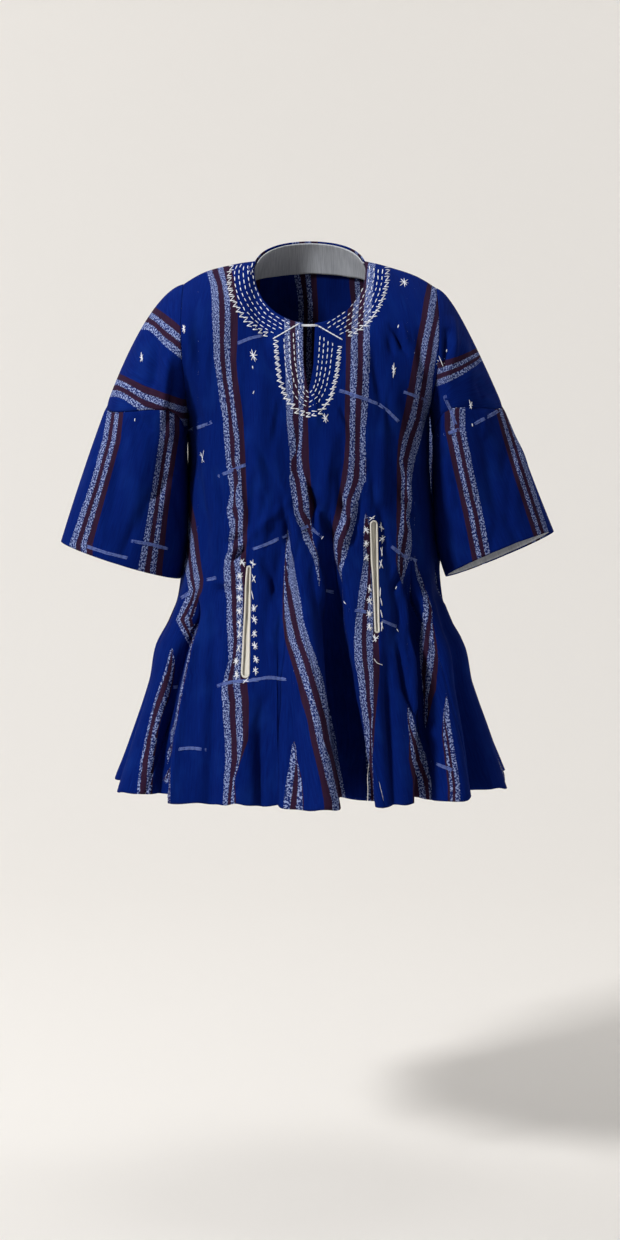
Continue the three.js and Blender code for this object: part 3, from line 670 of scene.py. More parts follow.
slit_v = np.linspace(ARMPIT, 0, 400)
slit_z = cloth_points(np.zeros(400), slit_v, False)[:, 2]
slit_end = float(np.interp(NECK_SLIT[-1][0], slit_z, slit_v))
neck_table = np.array(sorted(NECK_SLIT))


def neck_middle(z):
    """Middle line of the slit below the neck, halfway between its edges."""
    return (np.interp(z, neck_table[:, 0], neck_table[:, 1])
            + np.interp(z, neck_table[:, 0], neck_table[:, 2])) / 2


def neck_half(z):
    """Half width of the slit below the neck."""
    return (np.interp(z, neck_table[:, 0], neck_table[:, 2])
            - np.interp(z, neck_table[:, 0], neck_table[:, 1])) / 2


def pocket_slit(pocket):
    """A pocket slit's lowest and highest point, its middle line and its half width with round ends."""
    _, top_x, top_z, foot_x, foot_z, top_half, foot_half = pocket[:7]

    def middle(z):
        return foot_x + (top_x - foot_x) * (z - foot_z) / (top_z - foot_z)

    def half(z):
        plain = foot_half + (top_half - foot_half) * np.clip((z - foot_z) / (top_z - foot_z), 0, 1)
        over = np.clip(z - top_z, 0, top_half) + np.clip(foot_z - z, 0, foot_half)
        return np.sqrt(np.maximum(plain ** 2 - over ** 2, 0))
    return foot_z - foot_half, top_z + top_half, middle, half


slits = {2: (slit_end, 0.0, neck_middle, neck_half),
         1: pocket_slit(POCKETS[0]), 3: pocket_slit(POCKETS[1])}
slit_rows = [slit_end, slit_end + 1.2, slit_end + 3]
END_SHARES = (1, 0.86, 0.5, 0)
for _, _, top_z, _, foot_z, top_half, foot_half, *_ in POCKETS:
    slit_rows += [foot_z - foot_half * share for share in END_SHARES]
    slit_rows += [top_z + top_half * share for share in END_SHARES]

front_v = heights(slit_rows)
front_at, front_keep = strips_grid(FRONT_GORES, FRONT_COLUMNS, front_v, slits)
back_v = heights(skirt=BACK_SKIRT_ROWS, yoke=BACK_YOKE_ROWS)
back_at, back_keep = strips_grid(BACK_GORES, BACK_COLUMNS, back_v, {}, True)


def front_surface(at, v):
    """Main form of the front, without its creases."""
    return cloth_points(at, v, False)


def back_surface(at, v):
    """Main form of the back, without its creases."""
    return cloth_points(at, v, True)


def shaped_body(at, v, is_back):
    """Points of the front or the back with their creases."""
    surface = back_surface if is_back else front_surface
    v = np.broadcast_to(v, at.shape)
    normal = surface_normals(surface, at, v)
    if is_back:
        normal = -normal
    points = surface(at, v) + normal * body_push(at, v, is_back, surface)[..., None]
    points[..., 2] += hem_wave(at, v, 2.0 if is_back else 0.4)
    return points


# Stripe sets, from left to right: mirrored or not, and rows of edges in the photo as height,
# then the five edges of its four bands. Plain sets are light, brown, light, brown from the left.
BODY_SETS = [
    # Far left
    (False, [
        (434, 182, 182, 182, 182, 182), (440, 172, 176, 180, 183, 186), (472, 172, 177, 180, 184, 188),
        (500, 176.5, 181, 184, 187.6, 191.6),
        (520, 174, 180.5, 184.9, 190.2, 196), (540, 181, 185.3, 190, 194.3, 198.7),
        (560, 183, 188.9, 191.8, 196.5, 201), (580, 188, 190.7, 194.5, 200.5, 204),
        (590, 189, 193.8, 196, 199, 203), (600, 185.3, 190.7, 194, 195, 198.7),
        (620, 176.4, 180, 184.2, 188.9, 192),
        (640, 186, 191, 193, 194, 195), (646, 189, 190, 190, 190, 190), (650, 186, 186, 186, 186, 186),
        (700, 176, 176, 176, 176, 176), (800, 160, 160, 160, 160, 160)]),
    # Fold edge
    (False, [
        (616, 198.5, 198.5, 198.5, 198.5, 198.5), (624, 196.6, 198.6, 198.6, 198.6, 198.6),
        (650, 189.6, 191.8, 191.8, 191.8, 191.8), (686, 181.6, 184, 184, 184, 184),
        (717, 175.8, 178.3, 178.3, 178.3, 178.3), (740, 171, 173.6, 173.6, 173.6, 173.6),
        (766, 167.8, 170.8, 170.8, 170.8, 170.8), (797, 166.6, 170.4, 170.4, 170.4, 170.4)]),
    # Left
    (False, [
        (262, 204.5, 210, 216, 221.5, 230), (270, 206.3, 211.3, 217.9, 223.4, 232),
        (285, 210.6, 217.2, 222.4, 227, 235), (300, 212, 218.9, 224.5, 229.8, 236.9),
        (320, 212.3, 219.2, 225.3, 230.3, 237.9), (340, 213.4, 219.8, 224, 230.3, 237.6),
        (360, 214.1, 220.2, 225, 230.3, 236.4), (380, 217.4, 222.7, 226.9, 231.9, 237.9),
        (400, 219.8, 226.2, 230.5, 234, 241), (420, 223.4, 229, 231.9, 237.1, 243.3),
        (440, 224.5, 229.8, 235, 239.7, 244.7), (460, 226.2, 231.2, 234.8, 239.7, 245.8),
        (480, 228.3, 234, 238.8, 241, 246.4), (492, 230.5, 234.5, 236, 242, 247),
        (505, 228.3, 233.2, 236.3, 243, 247), (510, 227, 232.3, 238, 243.5, 248),
        (520, 228.7, 235.4, 239, 242.9, 248), (530, 230.5, 235.4, 238, 243, 247.5),
        (540, 228.7, 234, 238.3, 243.2, 247.5), (550, 228.7, 232.7, 237.7, 242.6, 246.5),
        (560, 225, 231, 233.8, 240.4, 246), (570, 224.2, 230.5, 235.4, 241, 246.5),
        (590, 224.7, 231.8, 236.3, 243.5, 248), (600, 227.2, 231.9, 236.8, 243.3, 248),
        (620, 227, 232.5, 236.4, 243.5, 248), (640, 227.8, 234, 237.2, 244, 248.5),
        (660, 228.7, 232.5, 235.6, 241.5, 248), (680, 223.8, 227.8, 232.9, 240.3, 247),
        (690, 221.6, 227.4, 233.8, 240.4, 248), (700, 222.5, 229.2, 235.8, 241.9, 248.9),
        (720, 223.4, 230, 235.8, 242.6, 248.9), (740, 225.1, 231.2, 237, 243.2, 248),
        (760, 225.6, 231.6, 238, 240.4, 241), (780, 224.2, 229.8, 233.6, 234.8, 235),
        (800, 223.3, 228, 231.2, 235.4, 236)]),
    # Middle
    (False, [
        (322, 284.5, 290, 295.3, 303, 309.5), (330, 284.5, 290, 295.3, 303, 309.5),
        (360, 285, 291, 296.7, 303.2, 309),
        (380, 285.8, 292, 297.8, 304.4, 309), (400, 286, 293.4, 298.7, 303.7, 309),
        (420, 286.6, 292.5, 298.7, 302.9, 307.9), (440, 288.7, 295.3, 299.4, 302.2, 308.6),
        (452, 290, 296.3, 296.6, 301.5, 309), (460, 290, 290.2, 296.6, 301.5, 309),
        (470, 289.8, 290.2, 297, 303, 310), (480, 289.4, 294.4, 300, 305.8, 310.8),
        (500, 292.3, 298, 302.6, 308.5, 313.8), (510, 293.4, 298.8, 302.9, 309, 314),
        (520, 295.7, 302, 310, 310, 311), (530, 301, 306.8, 312.2, 312.2, 312.2),
        (540, 303.3, 310.9, 313, 313, 313), (550, 309, 315.8, 316.5, 316.5, 316.5),
        (560, 313.6, 318.5, 318.5, 318.5, 318.5), (570, 316.2, 318.9, 318.9, 318.9, 318.9),
        (582, 318, 320, 320, 320, 320), (592, 321, 321, 321, 321, 321), (620, 326, 326, 326, 326, 326)]),
    # Right of the slit
    (True, [
        (262, 351, 357, 363, 368.5, 375.5), (290, 349, 355, 361, 366.5, 373.5),
        (310, 347.5, 353, 358.5, 364, 371.5), (330, 345.6, 351.2, 357.6, 363.4, 369.7),
        (360, 346, 350.6, 357.6, 363.4, 369.7), (380, 345.6, 350.2, 356.7, 362.6, 368.7),
        (400, 344.8, 350, 355.8, 361.5, 368.3), (420, 344.8, 349.8, 355, 360.8, 366.4),
        (440, 345.5, 349.8, 354.8, 359.8, 364.7), (460, 344, 349, 354.6, 360.2, 365.4),
        (480, 341.3, 347, 352.8, 359, 364.7), (500, 337, 341.7, 346.7, 351.2, 358.3),
        (510, 335.5, 342, 345.8, 350.5, 357.4), (520, 333.7, 340, 346.7, 350.7, 356),
        (530, 332.3, 336.4, 342.6, 348, 353.4), (540, 332, 333.7, 338.6, 344, 350.2),
        (550, 334, 334.6, 337.3, 341.7, 348), (560, 335.5, 336, 338, 340.8, 345.3),
        (568, 337.5, 338, 338.5, 339, 342.6), (578, 341, 341, 341, 341, 342),
        (582, 342, 342, 342, 342, 342), (700, 352, 352, 352, 352, 352)]),
    # Right pocket
    (False, [
        (512, 366, 366, 366, 366, 366), (518, 364.5, 364.5, 368, 368, 368),
        (530, 363.5, 363.5, 371, 371, 371),
        (545, 363.2, 363.2, 371, 371, 371), (550, 363.2, 366.3, 371, 371, 371),
        (560, 363.5, 368, 371, 371, 371),
        (580, 360.5, 367.5, 371.5, 372, 372), (590, 359.2, 366.8, 371.3, 373, 373),
        (600, 357.8, 365, 368, 374, 376), (620, 355.6, 361.9, 366.9, 373.5, 378),
        (640, 354.3, 361.6, 366.3, 372.6, 378.4), (660, 355.2, 362.3, 367.2, 372.8, 379.5),
        (680, 358.7, 365, 369.5, 373.2, 378.9), (700, 360.5, 366.5, 370.2, 373.2, 377),
        (715, 362.8, 368.3, 371.9, 373.2, 375.7), (730, 364.6, 370.4, 371.5, 371.7, 374.5),
        (760, 365.9, 369.5, 373, 373, 373), (780, 367.2, 370.4, 374, 374, 374),
        (806, 366.3, 371.3, 374, 374, 374)]),
    # Right
    (True, [
        (275, 428, 433, 439, 444, 451), (285, 427, 432, 438, 443, 450),
        (300, 423.7, 429.5, 436.3, 440.8, 447.2),
        (320, 420.9, 426.6, 433, 438, 443), (340, 416.6, 422.5, 428.7, 433.7, 439),
        (360, 413, 419, 425.3, 430.8, 435.5), (380, 409.5, 416, 421.8, 427, 432.2),
        (400, 406, 413.4, 418.3, 423.3, 431), (420, 401.7, 408.4, 414.8, 419.6, 425.1),
        (440, 398, 402, 407.4, 413, 420.2), (460, 396.6, 398.8, 402.4, 407.7, 414.5),
        (480, 396.4, 401.7, 405.5, 406.2, 411), (500, 396.3, 400.3, 404, 408, 411.5),
        (510, 396.3, 401.2, 404, 406, 410.6), (520, 396, 400.3, 404, 406, 408.5),
        (530, 396.5, 399, 404, 408, 410.6), (540, 396, 397.2, 402.2, 406.3, 411.5),
        (550, 396.5, 397.2, 400.5, 405, 411), (560, 395.5, 397.5, 399, 402.8, 408.9),
        (570, 397, 397.2, 399, 403, 405.3), (579, 400, 400, 400, 400.5, 403),
        (585, 402, 402, 402, 402, 402),
        (700, 404, 404, 404, 404, 404)]),
    # Right side
    (False, [
        (552, 414, 414, 414, 414, 414), (562, 413.7, 416, 416, 416, 416),
        (570, 414.7, 418.2, 418.2, 418.2, 418.2),
        (580, 417, 422.3, 422.3, 422.3, 422.3), (590, 421, 425.4, 425.4, 425.4, 425.4),
        (600, 423.2, 428, 429, 429, 429), (610, 423.6, 429, 432, 432, 432),
        (620, 422.3, 427.6, 431.7, 431.7, 432),
        (630, 421.4, 425.4, 430.8, 433, 434), (640, 420, 424.5, 428.8, 434.4, 436),
        (650, 420, 423.4, 428.3, 435.3, 437.5), (660, 420.5, 423.2, 427, 433.9, 438),
        (670, 421, 422, 426.8, 432.6, 437.5), (680, 422, 422, 425.9, 430.8, 436.6),
        (690, 423, 423, 426.3, 429.5, 436), (698, 424, 424, 425.5, 428, 433),
        (712, 424, 424, 424, 428.5, 430), (724, 425, 425, 425, 427, 427.5),
        (730, 426, 426, 426, 426, 426)]),
    # Far right
    (True, [
        (694, 446, 446, 446, 446, 446), (705, 444.5, 444.5, 444.5, 444.6, 448.5),
        (716, 443.3, 443.3, 443.3, 443.5, 449),
        (735, 442, 443, 446, 448, 452), (786, 448, 450, 453, 455.5, 460)]),
]
GORE_SETS = {
    "gore_front_left": [
        (False, [(738, 294, 294, 294, 294, 294), (746, 292, 296, 296, 296, 296),
                 (760, 290.3, 296.6, 297.5, 297.5, 297.5), (780, 286.7, 293.6, 298.8, 302.2, 302.4),
                 (800, 284, 290.9, 297, 303.7, 304), (815, 283, 289.5, 296, 303.5, 304)]),
        (True, [(526, 287, 287, 287, 287, 287), (532, 286.3, 286.3, 286.3, 286.4, 288.6),
                (540, 286, 286, 286, 286.2, 290.3), (550, 285.5, 285.5, 285.5, 285.8, 291.2),
                (560, 285, 285, 285, 285.8, 293.4), (570, 284.5, 284.5, 284.8, 287.2, 295.2),
                (580, 284, 284, 284.8, 288.5, 297), (590, 283.5, 284.5, 286.3, 291.2, 298.8),
                (600, 283, 284, 288, 293, 301), (620, 283, 285.4, 291.2, 297, 303.7),
                (640, 285.4, 289, 295.9, 302, 309.5), (655, 289.5, 294.3, 301.5, 307.3, 314.9),
                (680, 297, 302, 309.2, 314.9, 322.5), (700, 301.5, 309, 314.2, 320.5, 326.5),
                (720, 307.7, 313, 320, 325.8, 331.4), (740, 311, 317, 323, 329.2, 335.5),
                (760, 315.8, 321.6, 329.8, 333.9, 338), (780, 320.3, 326.2, 333.7, 338.6, 342.2),
                (800, 323.8, 331.6, 338.2, 343.5, 346.7), (815, 325, 332.8, 338.6, 343.7, 347)])],
    "gore_front_outer_left": [
        (False, [(644, 173, 173, 173, 173, 173), (650, 170.5, 172.3, 173, 173, 173),
                 (660, 168, 169.8, 172.5, 174.5, 174.5),
                 (670, 165.5, 167.3, 171.3, 174.5, 174.5), (684, 160.5, 162.2, 168, 172.4, 172.4),
                 (700, 155, 156.8, 162, 168.3, 168.3), (715, 151, 152.6, 157, 162, 162),
                 (730, 147.5, 149.2, 153, 158.3, 158.3), (760, 141, 142.8, 148.2, 154, 154),
                 (780, 138.5, 140.4, 146.8, 152.3, 152.3), (799, 137, 139, 145.5, 151.5, 151.5)])],
    "gore_front_outer_right": [
        (True, [(706, 407, 407, 407, 407, 407), (712, 407, 407, 407, 407.5, 410.5),
                (720, 407.5, 407.5, 407.5, 408, 413.3), (730, 408.5, 408.5, 409, 410.8, 416),
                (740, 409, 409.5, 411.5, 415, 419.6), (760, 408.5, 411.5, 415.8, 420, 426.8),
                (780, 412.4, 417.5, 423.4, 428.5, 431.7), (798, 412.4, 420, 426, 430, 432.5)])],
}
FRONT_SETS = BODY_SETS + [track for tracks in GORE_SETS.values() for track in tracks]
# Sleeves, as height or place across, then one edge of the set and the other
LOWER_SLEEVE_SETS = {
    "left": [(False, [(411, 108, 124), (440, 103, 121), (480, 92, 110), (544, 70, 93)]),
             (False, [(434, 160, 179), (480, 153, 172), (520, 147, 167), (569, 138, 162)])],
    "right": [(True, [(428, 445, 465), (470, 454, 473), (510, 463, 482), (563, 473, 492)]),
              (True, [(407, 494, 507), (440, 503, 518), (480, 515, 531), (538, 534, 550)])],
}
UPPER_SLEEVE_SETS = {
    "left": [(True, [(148, 303, 330), (155, 307, 335), (165, 314, 346), (174, 321, 353),
                     (182, 328, 360)]),
             (True, [(118, 373, 397), (125, 376, 400), (145, 386, 414), (165, 393, 420),
                     (182, 399, 426)])],
    "right": [(True, [(481, 345, 361), (477, 348, 365), (462, 355, 375), (450, 359, 381),
                      (438, 362, 386)])],
}
# Guessed sets of the back as place and phase, and of the gores there as reach to the left and right
HIDDEN_BODY_SETS = [(-0.86, 0), (-0.47, 1), (-0.03, 2), (0.4, 3), (0.8, 4)]
BACK_GORE_SET = (0.028, 0.03)
SIDE_GORE_SET = (0.05, 0.02)
SET_WIDTH = 24.0
BAND_SHARES = np.array([0, 0.27, 0.49, 0.73, 1.0])
# Depth inside a set for one unit of place, so that its edges are as ragged as on the front
CLOTH_SPAN = 150.0
OUTSIDE = -1e9
NARROWEST_BAND = 0.02


def stripe_layer(x, sets, scale=1.0):
    """How far across the nearest set each point lies, by the shares of its four bands and read from
    the other side where it is mirrored, and how deep inside the set, less than zero outside it."""
    best, kept = np.full(x.shape, OUTSIDE), np.zeros(x.shape)
    for is_mirrored, edges in sets:
        shares = 1 - BAND_SHARES[::-1] if is_mirrored else BAND_SHARES
        inside = np.minimum(x - edges[0], edges[4] - x) * scale
        reach = np.zeros(x.shape)
        for i in range(4):
            wide = np.maximum(edges[i + 1] - edges[i], NARROWEST_BAND / scale)
            reach = reach + (shares[i + 1] - shares[i]) * np.clip((x - edges[i]) / wide, 0, 1)
        kept = np.where(inside > best, 1 - reach if is_mirrored else reach, kept)
        best = np.maximum(inside, best)
    return np.stack([kept, best], -1)


def photo_stripes(points, tracks, is_band=False):
    """Stripe coordinates of points from their photo pixels: each set's edges are read at the pixel's
    own height, or for a band at its own place across."""
    flat = to_photo(points)
    key, value = (flat[..., 0], flat[..., 1]) if is_band else (flat[..., 1], flat[..., 0])
    sets = []
    for is_mirrored, track in tracks:
        shares = 1 - BAND_SHARES[::-1] if is_mirrored else BAND_SHARES
        rows = [row if len(row) > 3 else (row[0], *(row[1] + (row[2] - row[1]) * shares))
                for row in sorted(track)]
        table = np.array(rows, float)
        sets.append((is_mirrored, [np.interp(key, table[:, 0], table[:, i]) for i in range(1, 6)]))
    return stripe_layer(value, sets)


def to_front(points):
    """The same points with the hidden half turned to the front, so that both halves match."""
    return np.stack([points[..., 0], -np.abs(points[..., 1]), points[..., 2]], -1)


def plain_set(low, high, is_mirrored=False):
    """Set between two edges with its four bands in their common shares."""
    shares = 1 - BAND_SHARES[::-1] if is_mirrored else BAND_SHARES
    return is_mirrored, [low + (high - low) * share for share in shares]


def hidden_sets(v, centres):
    """Sets on the back, one set's width of cloth each, which wander a little."""
    speed = np.interp(v, [HEM, -330, ARMPIT, 0], [300, 200, 150, 150])
    sets = []
    for centre, phase in centres:
        middle = centre * np.interp(v, [HEM, -300, 0], [0.86, 1, 0.97])
        middle = middle + 0.012 * np.sin(v * 0.03 + 2.1 * phase) + 0.006 * np.sin(v * 0.09 + phase)
        half = SET_WIDTH / speed / 2 * (1 + 0.12 * np.sin(v * 0.05 + phase))
        sets.append(plain_set(middle - half, middle + half, phase > 2))
    return sets


# Shader groups
def new_group(name, inputs, outputs):
    """Node group with its named sockets, and its input and output nodes."""
    group = bpy.data.node_groups.new(name, "ShaderNodeTree")
    for label, kind, value in inputs:
        socket = group.interface.new_socket(label, in_out="INPUT", socket_type=kind)
        if value is not None:
            socket.default_value = value
    for label, kind in outputs:
        group.interface.new_socket(label, in_out="OUTPUT", socket_type=kind)
    return group, group.nodes.new("NodeGroupInput"), group.nodes.new("NodeGroupOutput")


def add_node(tree, kind, settings=None, **sockets):
    """Node of a kind with its settings, and its input sockets set to numbers or linked to outputs."""
    made = tree.nodes.new(kind)
    for key, value in (settings or {}).items():
        setattr(made, key, value)
    for key, value in sockets.items():
        name = int(key[1:]) if key[0] == "i" and key[1:].isdigit() else key.replace("_", " ")
        if hasattr(value, "is_output"):
            tree.links.new(value, made.inputs[name])
        else:
            made.inputs[name].default_value = value
    return made


def maths(tree, operation, *values):
    """Output of a math node whose inputs are numbers or linked outputs."""
    node = tree.nodes.new("ShaderNodeMath")
    node.operation = operation
    for slot_index, value in enumerate(values):
        if hasattr(value, "is_output"):
            tree.links.new(value, node.inputs[slot_index])
        else:
            node.inputs[slot_index].default_value = value
    return node.outputs[0]


def blend_colour(tree, share, low, high):
    """Colour between two others: the mix node takes its share at socket 0 and colours at 6 and 7."""
    node = tree.nodes.new("ShaderNodeMix")
    node.data_type = "RGBA"
    for socket, value in zip((node.inputs[0], node.inputs[6], node.inputs[7]), (share, low, high)):
        if hasattr(value, "is_output"):
            tree.links.new(value, socket)
        else:
            socket.default_value = value
    return node.outputs[2]


def ramp(tree, value, stops, steps="LINEAR"):
    """Grey ramp through stops of place and level."""
    node = tree.nodes.new("ShaderNodeValToRGB")
    node.color_ramp.interpolation = steps
    elements = node.color_ramp.elements
    while len(elements) < len(stops):
        elements.new(0.5)
    for element, (place, level) in zip(elements, stops):
        element.position = place
        element.color = (level, level, level, 1)
    tree.links.new(value, node.inputs[0])
    return node.outputs[0]


def noise(tree, coordinates, stretch, detail=2.0, roughness=0.5):
    """Noise over coordinates that are first stretched on each axis."""
    scaled = add_node(tree, "ShaderNodeVectorMath", {"operation": "MULTIPLY"}, i0=coordinates,
                      i1=stretch)
    made = add_node(tree, "ShaderNodeTexNoise", None, Vector=scaled.outputs[0], Scale=1.0,
                    Detail=detail, Roughness=roughness)
    return made.outputs[0]


def make_weave_group():
    """Plain weave on cloth coordinates in centimetres: warp and weft waves that pass over each other,
    uneven yarn, slubs along the warp, flecks for marled yarn, and slow fading."""
    group, given, out = new_group(
        "woven cloth", [("Cloth", "NodeSocketVector", None), ("Threads per cm", "NodeSocketFloat", 11.0)],
        [("Height", "NodeSocketFloat"), ("Streak", "NodeSocketFloat"), ("Fleck", "NodeSocketFloat"),
         ("Fade", "NodeSocketFloat")])
    cloth, count = given.outputs[0], given.outputs[1]
    wander = noise(group, cloth, (3.0, 1.2, 1.0))
    split = add_node(group, "ShaderNodeSeparateXYZ", None, i0=cloth)
    turn = maths(group, "MULTIPLY", count, 2 * math.pi)
    shift = maths(group, "MULTIPLY", wander, 4.0)
    across = maths(group, "ADD", maths(group, "MULTIPLY", split.outputs[0], turn), shift)
    along = maths(group, "ADD", maths(group, "MULTIPLY", split.outputs[1], turn), shift)
    warp = maths(group, "ABSOLUTE", maths(group, "SINE", maths(group, "MULTIPLY", across, 0.5)))
    weft = maths(group, "ABSOLUTE", maths(group, "SINE", maths(group, "MULTIPLY", along, 0.5)))
    height = maths(group, "ADD", maths(group, "MULTIPLY", warp, 0.62), maths(group, "MULTIPLY", weft, 0.38))
    streak = noise(group, cloth, (9.0, 0.45, 1.0), 4.0, 0.6)
    slub = noise(group, cloth, (16.0, 2.2, 1.0), 2.0)
    uneven = maths(group, "MULTIPLY", slub, 0.7)
    group.links.new(maths(group, "ADD", height, uneven), out.inputs[0])
    group.links.new(streak, out.inputs[1])
    fleck = noise(group, cloth, (7.8, 5.2, 1.0), 1.0, 0.6)
    group.links.new(ramp(group, fleck, [(0.495, 0), (0.56, 1)]), out.inputs[2])
    group.links.new(noise(group, cloth, (0.32, 0.2, 1.0), 3.0), out.inputs[3])
    return group


def make_stripe_group():
    """Stripe masks from the stripe coordinates: whether a point is inside a set, and whether its band
    is a light one. The edges are a little ragged."""
    group, given, out = new_group(
        "warp stripes", [("Stripes", "NodeSocketVector", None), ("Cloth", "NodeSocketVector", None)],
        [("In a set", "NodeSocketFloat"), ("Light", "NodeSocketFloat")])
    split = add_node(group, "ShaderNodeSeparateXYZ", None, i0=given.outputs[0])
    ragged = maths(group, "SUBTRACT", noise(group, given.outputs[1], (9.0, 14.0, 1.0)), 0.5)
    depth = maths(group, "ADD", split.outputs[1], maths(group, "MULTIPLY", ragged, 1.6))
    reach = maths(group, "ADD", split.outputs[0], maths(group, "MULTIPLY", ragged, 0.13))
    group.links.new(maths(group, "GREATER_THAN", depth, 0.0), out.inputs[0])
    group.links.new(ramp(group, reach, [(0, 1), (0.27, 0), (0.49, 1), (0.73, 0)], "CONSTANT"),
                    out.inputs[1])
    return group


weave_group = make_weave_group()
stripe_group = make_stripe_group()


def new_material(name, roughness, sheen=0.0, sheen_roughness=0.5, sheen_tint=(1, 1, 1, 1)):
    """Matt material, with its node tree and its shader."""
    material = bpy.data.materials.new(name)
    material.use_nodes = True
    shader = material.node_tree.nodes["Principled BSDF"]
    shader.inputs["Roughness"].default_value = roughness
    shader.inputs["Specular IOR Level"].default_value = 0.2
    shader.inputs["Sheen Weight"].default_value = sheen
    shader.inputs["Sheen Roughness"].default_value = sheen_roughness
    shader.inputs["Sheen Tint"].default_value = sheen_tint
    return material, material.node_tree, shader


def weave_on(tree, cloth, threads):
    """The woven cloth group on cloth coordinates, with its threads per centimetre."""
    made = tree.nodes.new("ShaderNodeGroup")
    made.node_tree = weave_group
    tree.links.new(cloth, made.inputs[0])
    made.inputs[1].default_value = threads
    return made


def bump(tree, shader, height, distance, strength=1.0):
    """Bump of a height on the shader, its distance in metres."""
    made = add_node(tree, "ShaderNodeBump", None, Strength=strength, Distance=distance, Height=height)
    tree.links.new(made.outputs[0], shader.inputs["Normal"])


BLUE_THREADS, CREAM_THREADS, FACING_THREADS = 11.0, 14.0, 16.0
SHEEN_BLUE = (0.3, 0.45, 1, 1)
DEEP_BLUE = (0.001, 0.006, 0.085, 1)
CLEAR_BLUE = (0.002, 0.018, 0.17, 1)
WORN_BLUE = (0.005, 0.03, 0.2, 1)
BROWN = (0.042, 0.0145, 0.034, 1)
DARK_BROWN = (0.018, 0.0085, 0.026, 1)
MARL_PALE = (0.28, 0.34, 0.58, 1)
MARL_DEEP = (0.01, 0.022, 0.12, 1)


def make_striped_cloth():
    """Blue warp with darker and paler yarns, sets of marled light and brown stripes, and fading."""
    material, tree, shader = new_material("blue smock cloth", 0.95, 0.01, 0.5, SHEEN_BLUE)
    shader.inputs["Specular IOR Level"].default_value = 0.03
    cloth = add_node(tree, "ShaderNodeUVMap", {"uv_map": "Cloth"}).outputs[0]
    stripes = add_node(tree, "ShaderNodeUVMap", {"uv_map": "Stripes"}).outputs[0]
    weave = weave_on(tree, cloth, BLUE_THREADS)
    sets = tree.nodes.new("ShaderNodeGroup")
    sets.node_tree = stripe_group
    tree.links.new(stripes, sets.inputs[0])
    tree.links.new(cloth, sets.inputs[1])
    yarn = ramp(tree, weave.outputs["Streak"], [(0.2, 0), (0.85, 1)])
    blue = blend_colour(tree, yarn, DEEP_BLUE, CLEAR_BLUE)
    blue = blend_colour(tree, ramp(tree, weave.outputs["Fade"], [(0.52, 0), (0.8, 0.5)]), blue, WORN_BLUE)
    light = blend_colour(tree, weave.outputs["Fleck"], MARL_DEEP, MARL_PALE)
    brown = blend_colour(tree, yarn, DARK_BROWN, BROWN)
    band = blend_colour(tree, sets.outputs["Light"], brown, light)
    colour = blend_colour(tree, sets.outputs["In a set"], blue, band)
    tree.links.new(colour, shader.inputs["Base Color"])
    bump(tree, shader, weave.outputs["Height"], 0.0003, 0.2)
    return material


def make_plain_cloth(name, low, high, threads):
    """Plain woven cloth of one colour, with uneven yarn."""
    material, tree, shader = new_material(name, 0.92, 0.1, 0.5)
    cloth = add_node(tree, "ShaderNodeUVMap", {"uv_map": "Cloth"}).outputs[0]
    weave = weave_on(tree, cloth, threads)
    share = ramp(tree, weave.outputs["Streak"], [(0.3, 0), (0.7, 1)])
    tree.links.new(blend_colour(tree, share, low, high), shader.inputs["Base Color"])
    bump(tree, shader, weave.outputs["Height"], 0.0002, 0.5)
    return material


def make_thread(name, low, high, twists):
    """Twisted cotton thread: fine slanted ridges along each stitch, by its own coordinates. Its colour is
    paler on the ridges and darker in the grooves between them, which is painted shade, and uneven by noise.
    """
    material, tree, shader = new_material(name, 0.75, 0.2, 0.4)
    cloth = add_node(tree, "ShaderNodeUVMap", {"uv_map": "Cloth"}).outputs[0]
    split = add_node(tree, "ShaderNodeSeparateXYZ", None, i0=cloth)
    slant = maths(tree, "ADD", maths(tree, "MULTIPLY", split.outputs[0], twists),
                  maths(tree, "MULTIPLY", split.outputs[1], 2 * math.pi))
    ridge = maths(tree, "ABSOLUTE", maths(tree, "SINE", slant))
    place = add_node(tree, "ShaderNodeTexCoord").outputs["Object"]
    uneven = noise(tree, place, (900.0, 900.0, 900.0), 2.0)
    # painted shade: the thread's colour darkens in the twist's grooves, where the bump sinks, and the noise
    # adds uneven tone
    share = maths(tree, "MULTIPLY", maths(tree, "ADD", ridge, uneven), 0.5)
    tree.links.new(blend_colour(tree, share, low, high), shader.inputs["Base Color"])
    bump(tree, shader, ridge, 0.0002, 0.4)
    return material


blue_cloth = make_striped_cloth()
cream_cloth = make_plain_cloth("cream pocket cloth", (0.64, 0.6, 0.52, 1), (0.86, 0.83, 0.76, 1),
                               CREAM_THREADS)
facing_cloth = make_plain_cloth("pale facing cloth", (0.42, 0.44, 0.48, 1), (0.66, 0.68, 0.72, 1),
                                FACING_THREADS)
white_thread = make_thread("white embroidery thread", (0.78, 0.8, 0.88, 1), (0.95, 0.96, 0.98, 1), 70.0)
pale_thread = make_thread("pale weft thread", (0.05, 0.09, 0.34, 1), (0.16, 0.22, 0.52, 1), 60.0)


# Cloth pieces
def dress_piece(name, node, points, keep, layers, material, thickness=CLOTH, ring=False):
    """Cloth shell that stands for a CAD node, which it hides."""
    piece = cloth_piece(name, points, keep, layers, material, thickness, ring)
    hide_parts(node)


def all_cells(points):
    """Every cell of a grid holds cloth."""
    return np.ones((points.shape[0] - 1, points.shape[1] - 1), bool)


def dress_front():
    """Front with its stripes as the photo shows them."""
    points = shaped_body(front_at, front_v[:, None], False)
    layers = [("Cloth", cloth_measure(points)), ("Stripes", photo_stripes(points, FRONT_SETS))]
    dress_piece("front_cloth", "front_body", points, front_keep, layers, blue_cloth)


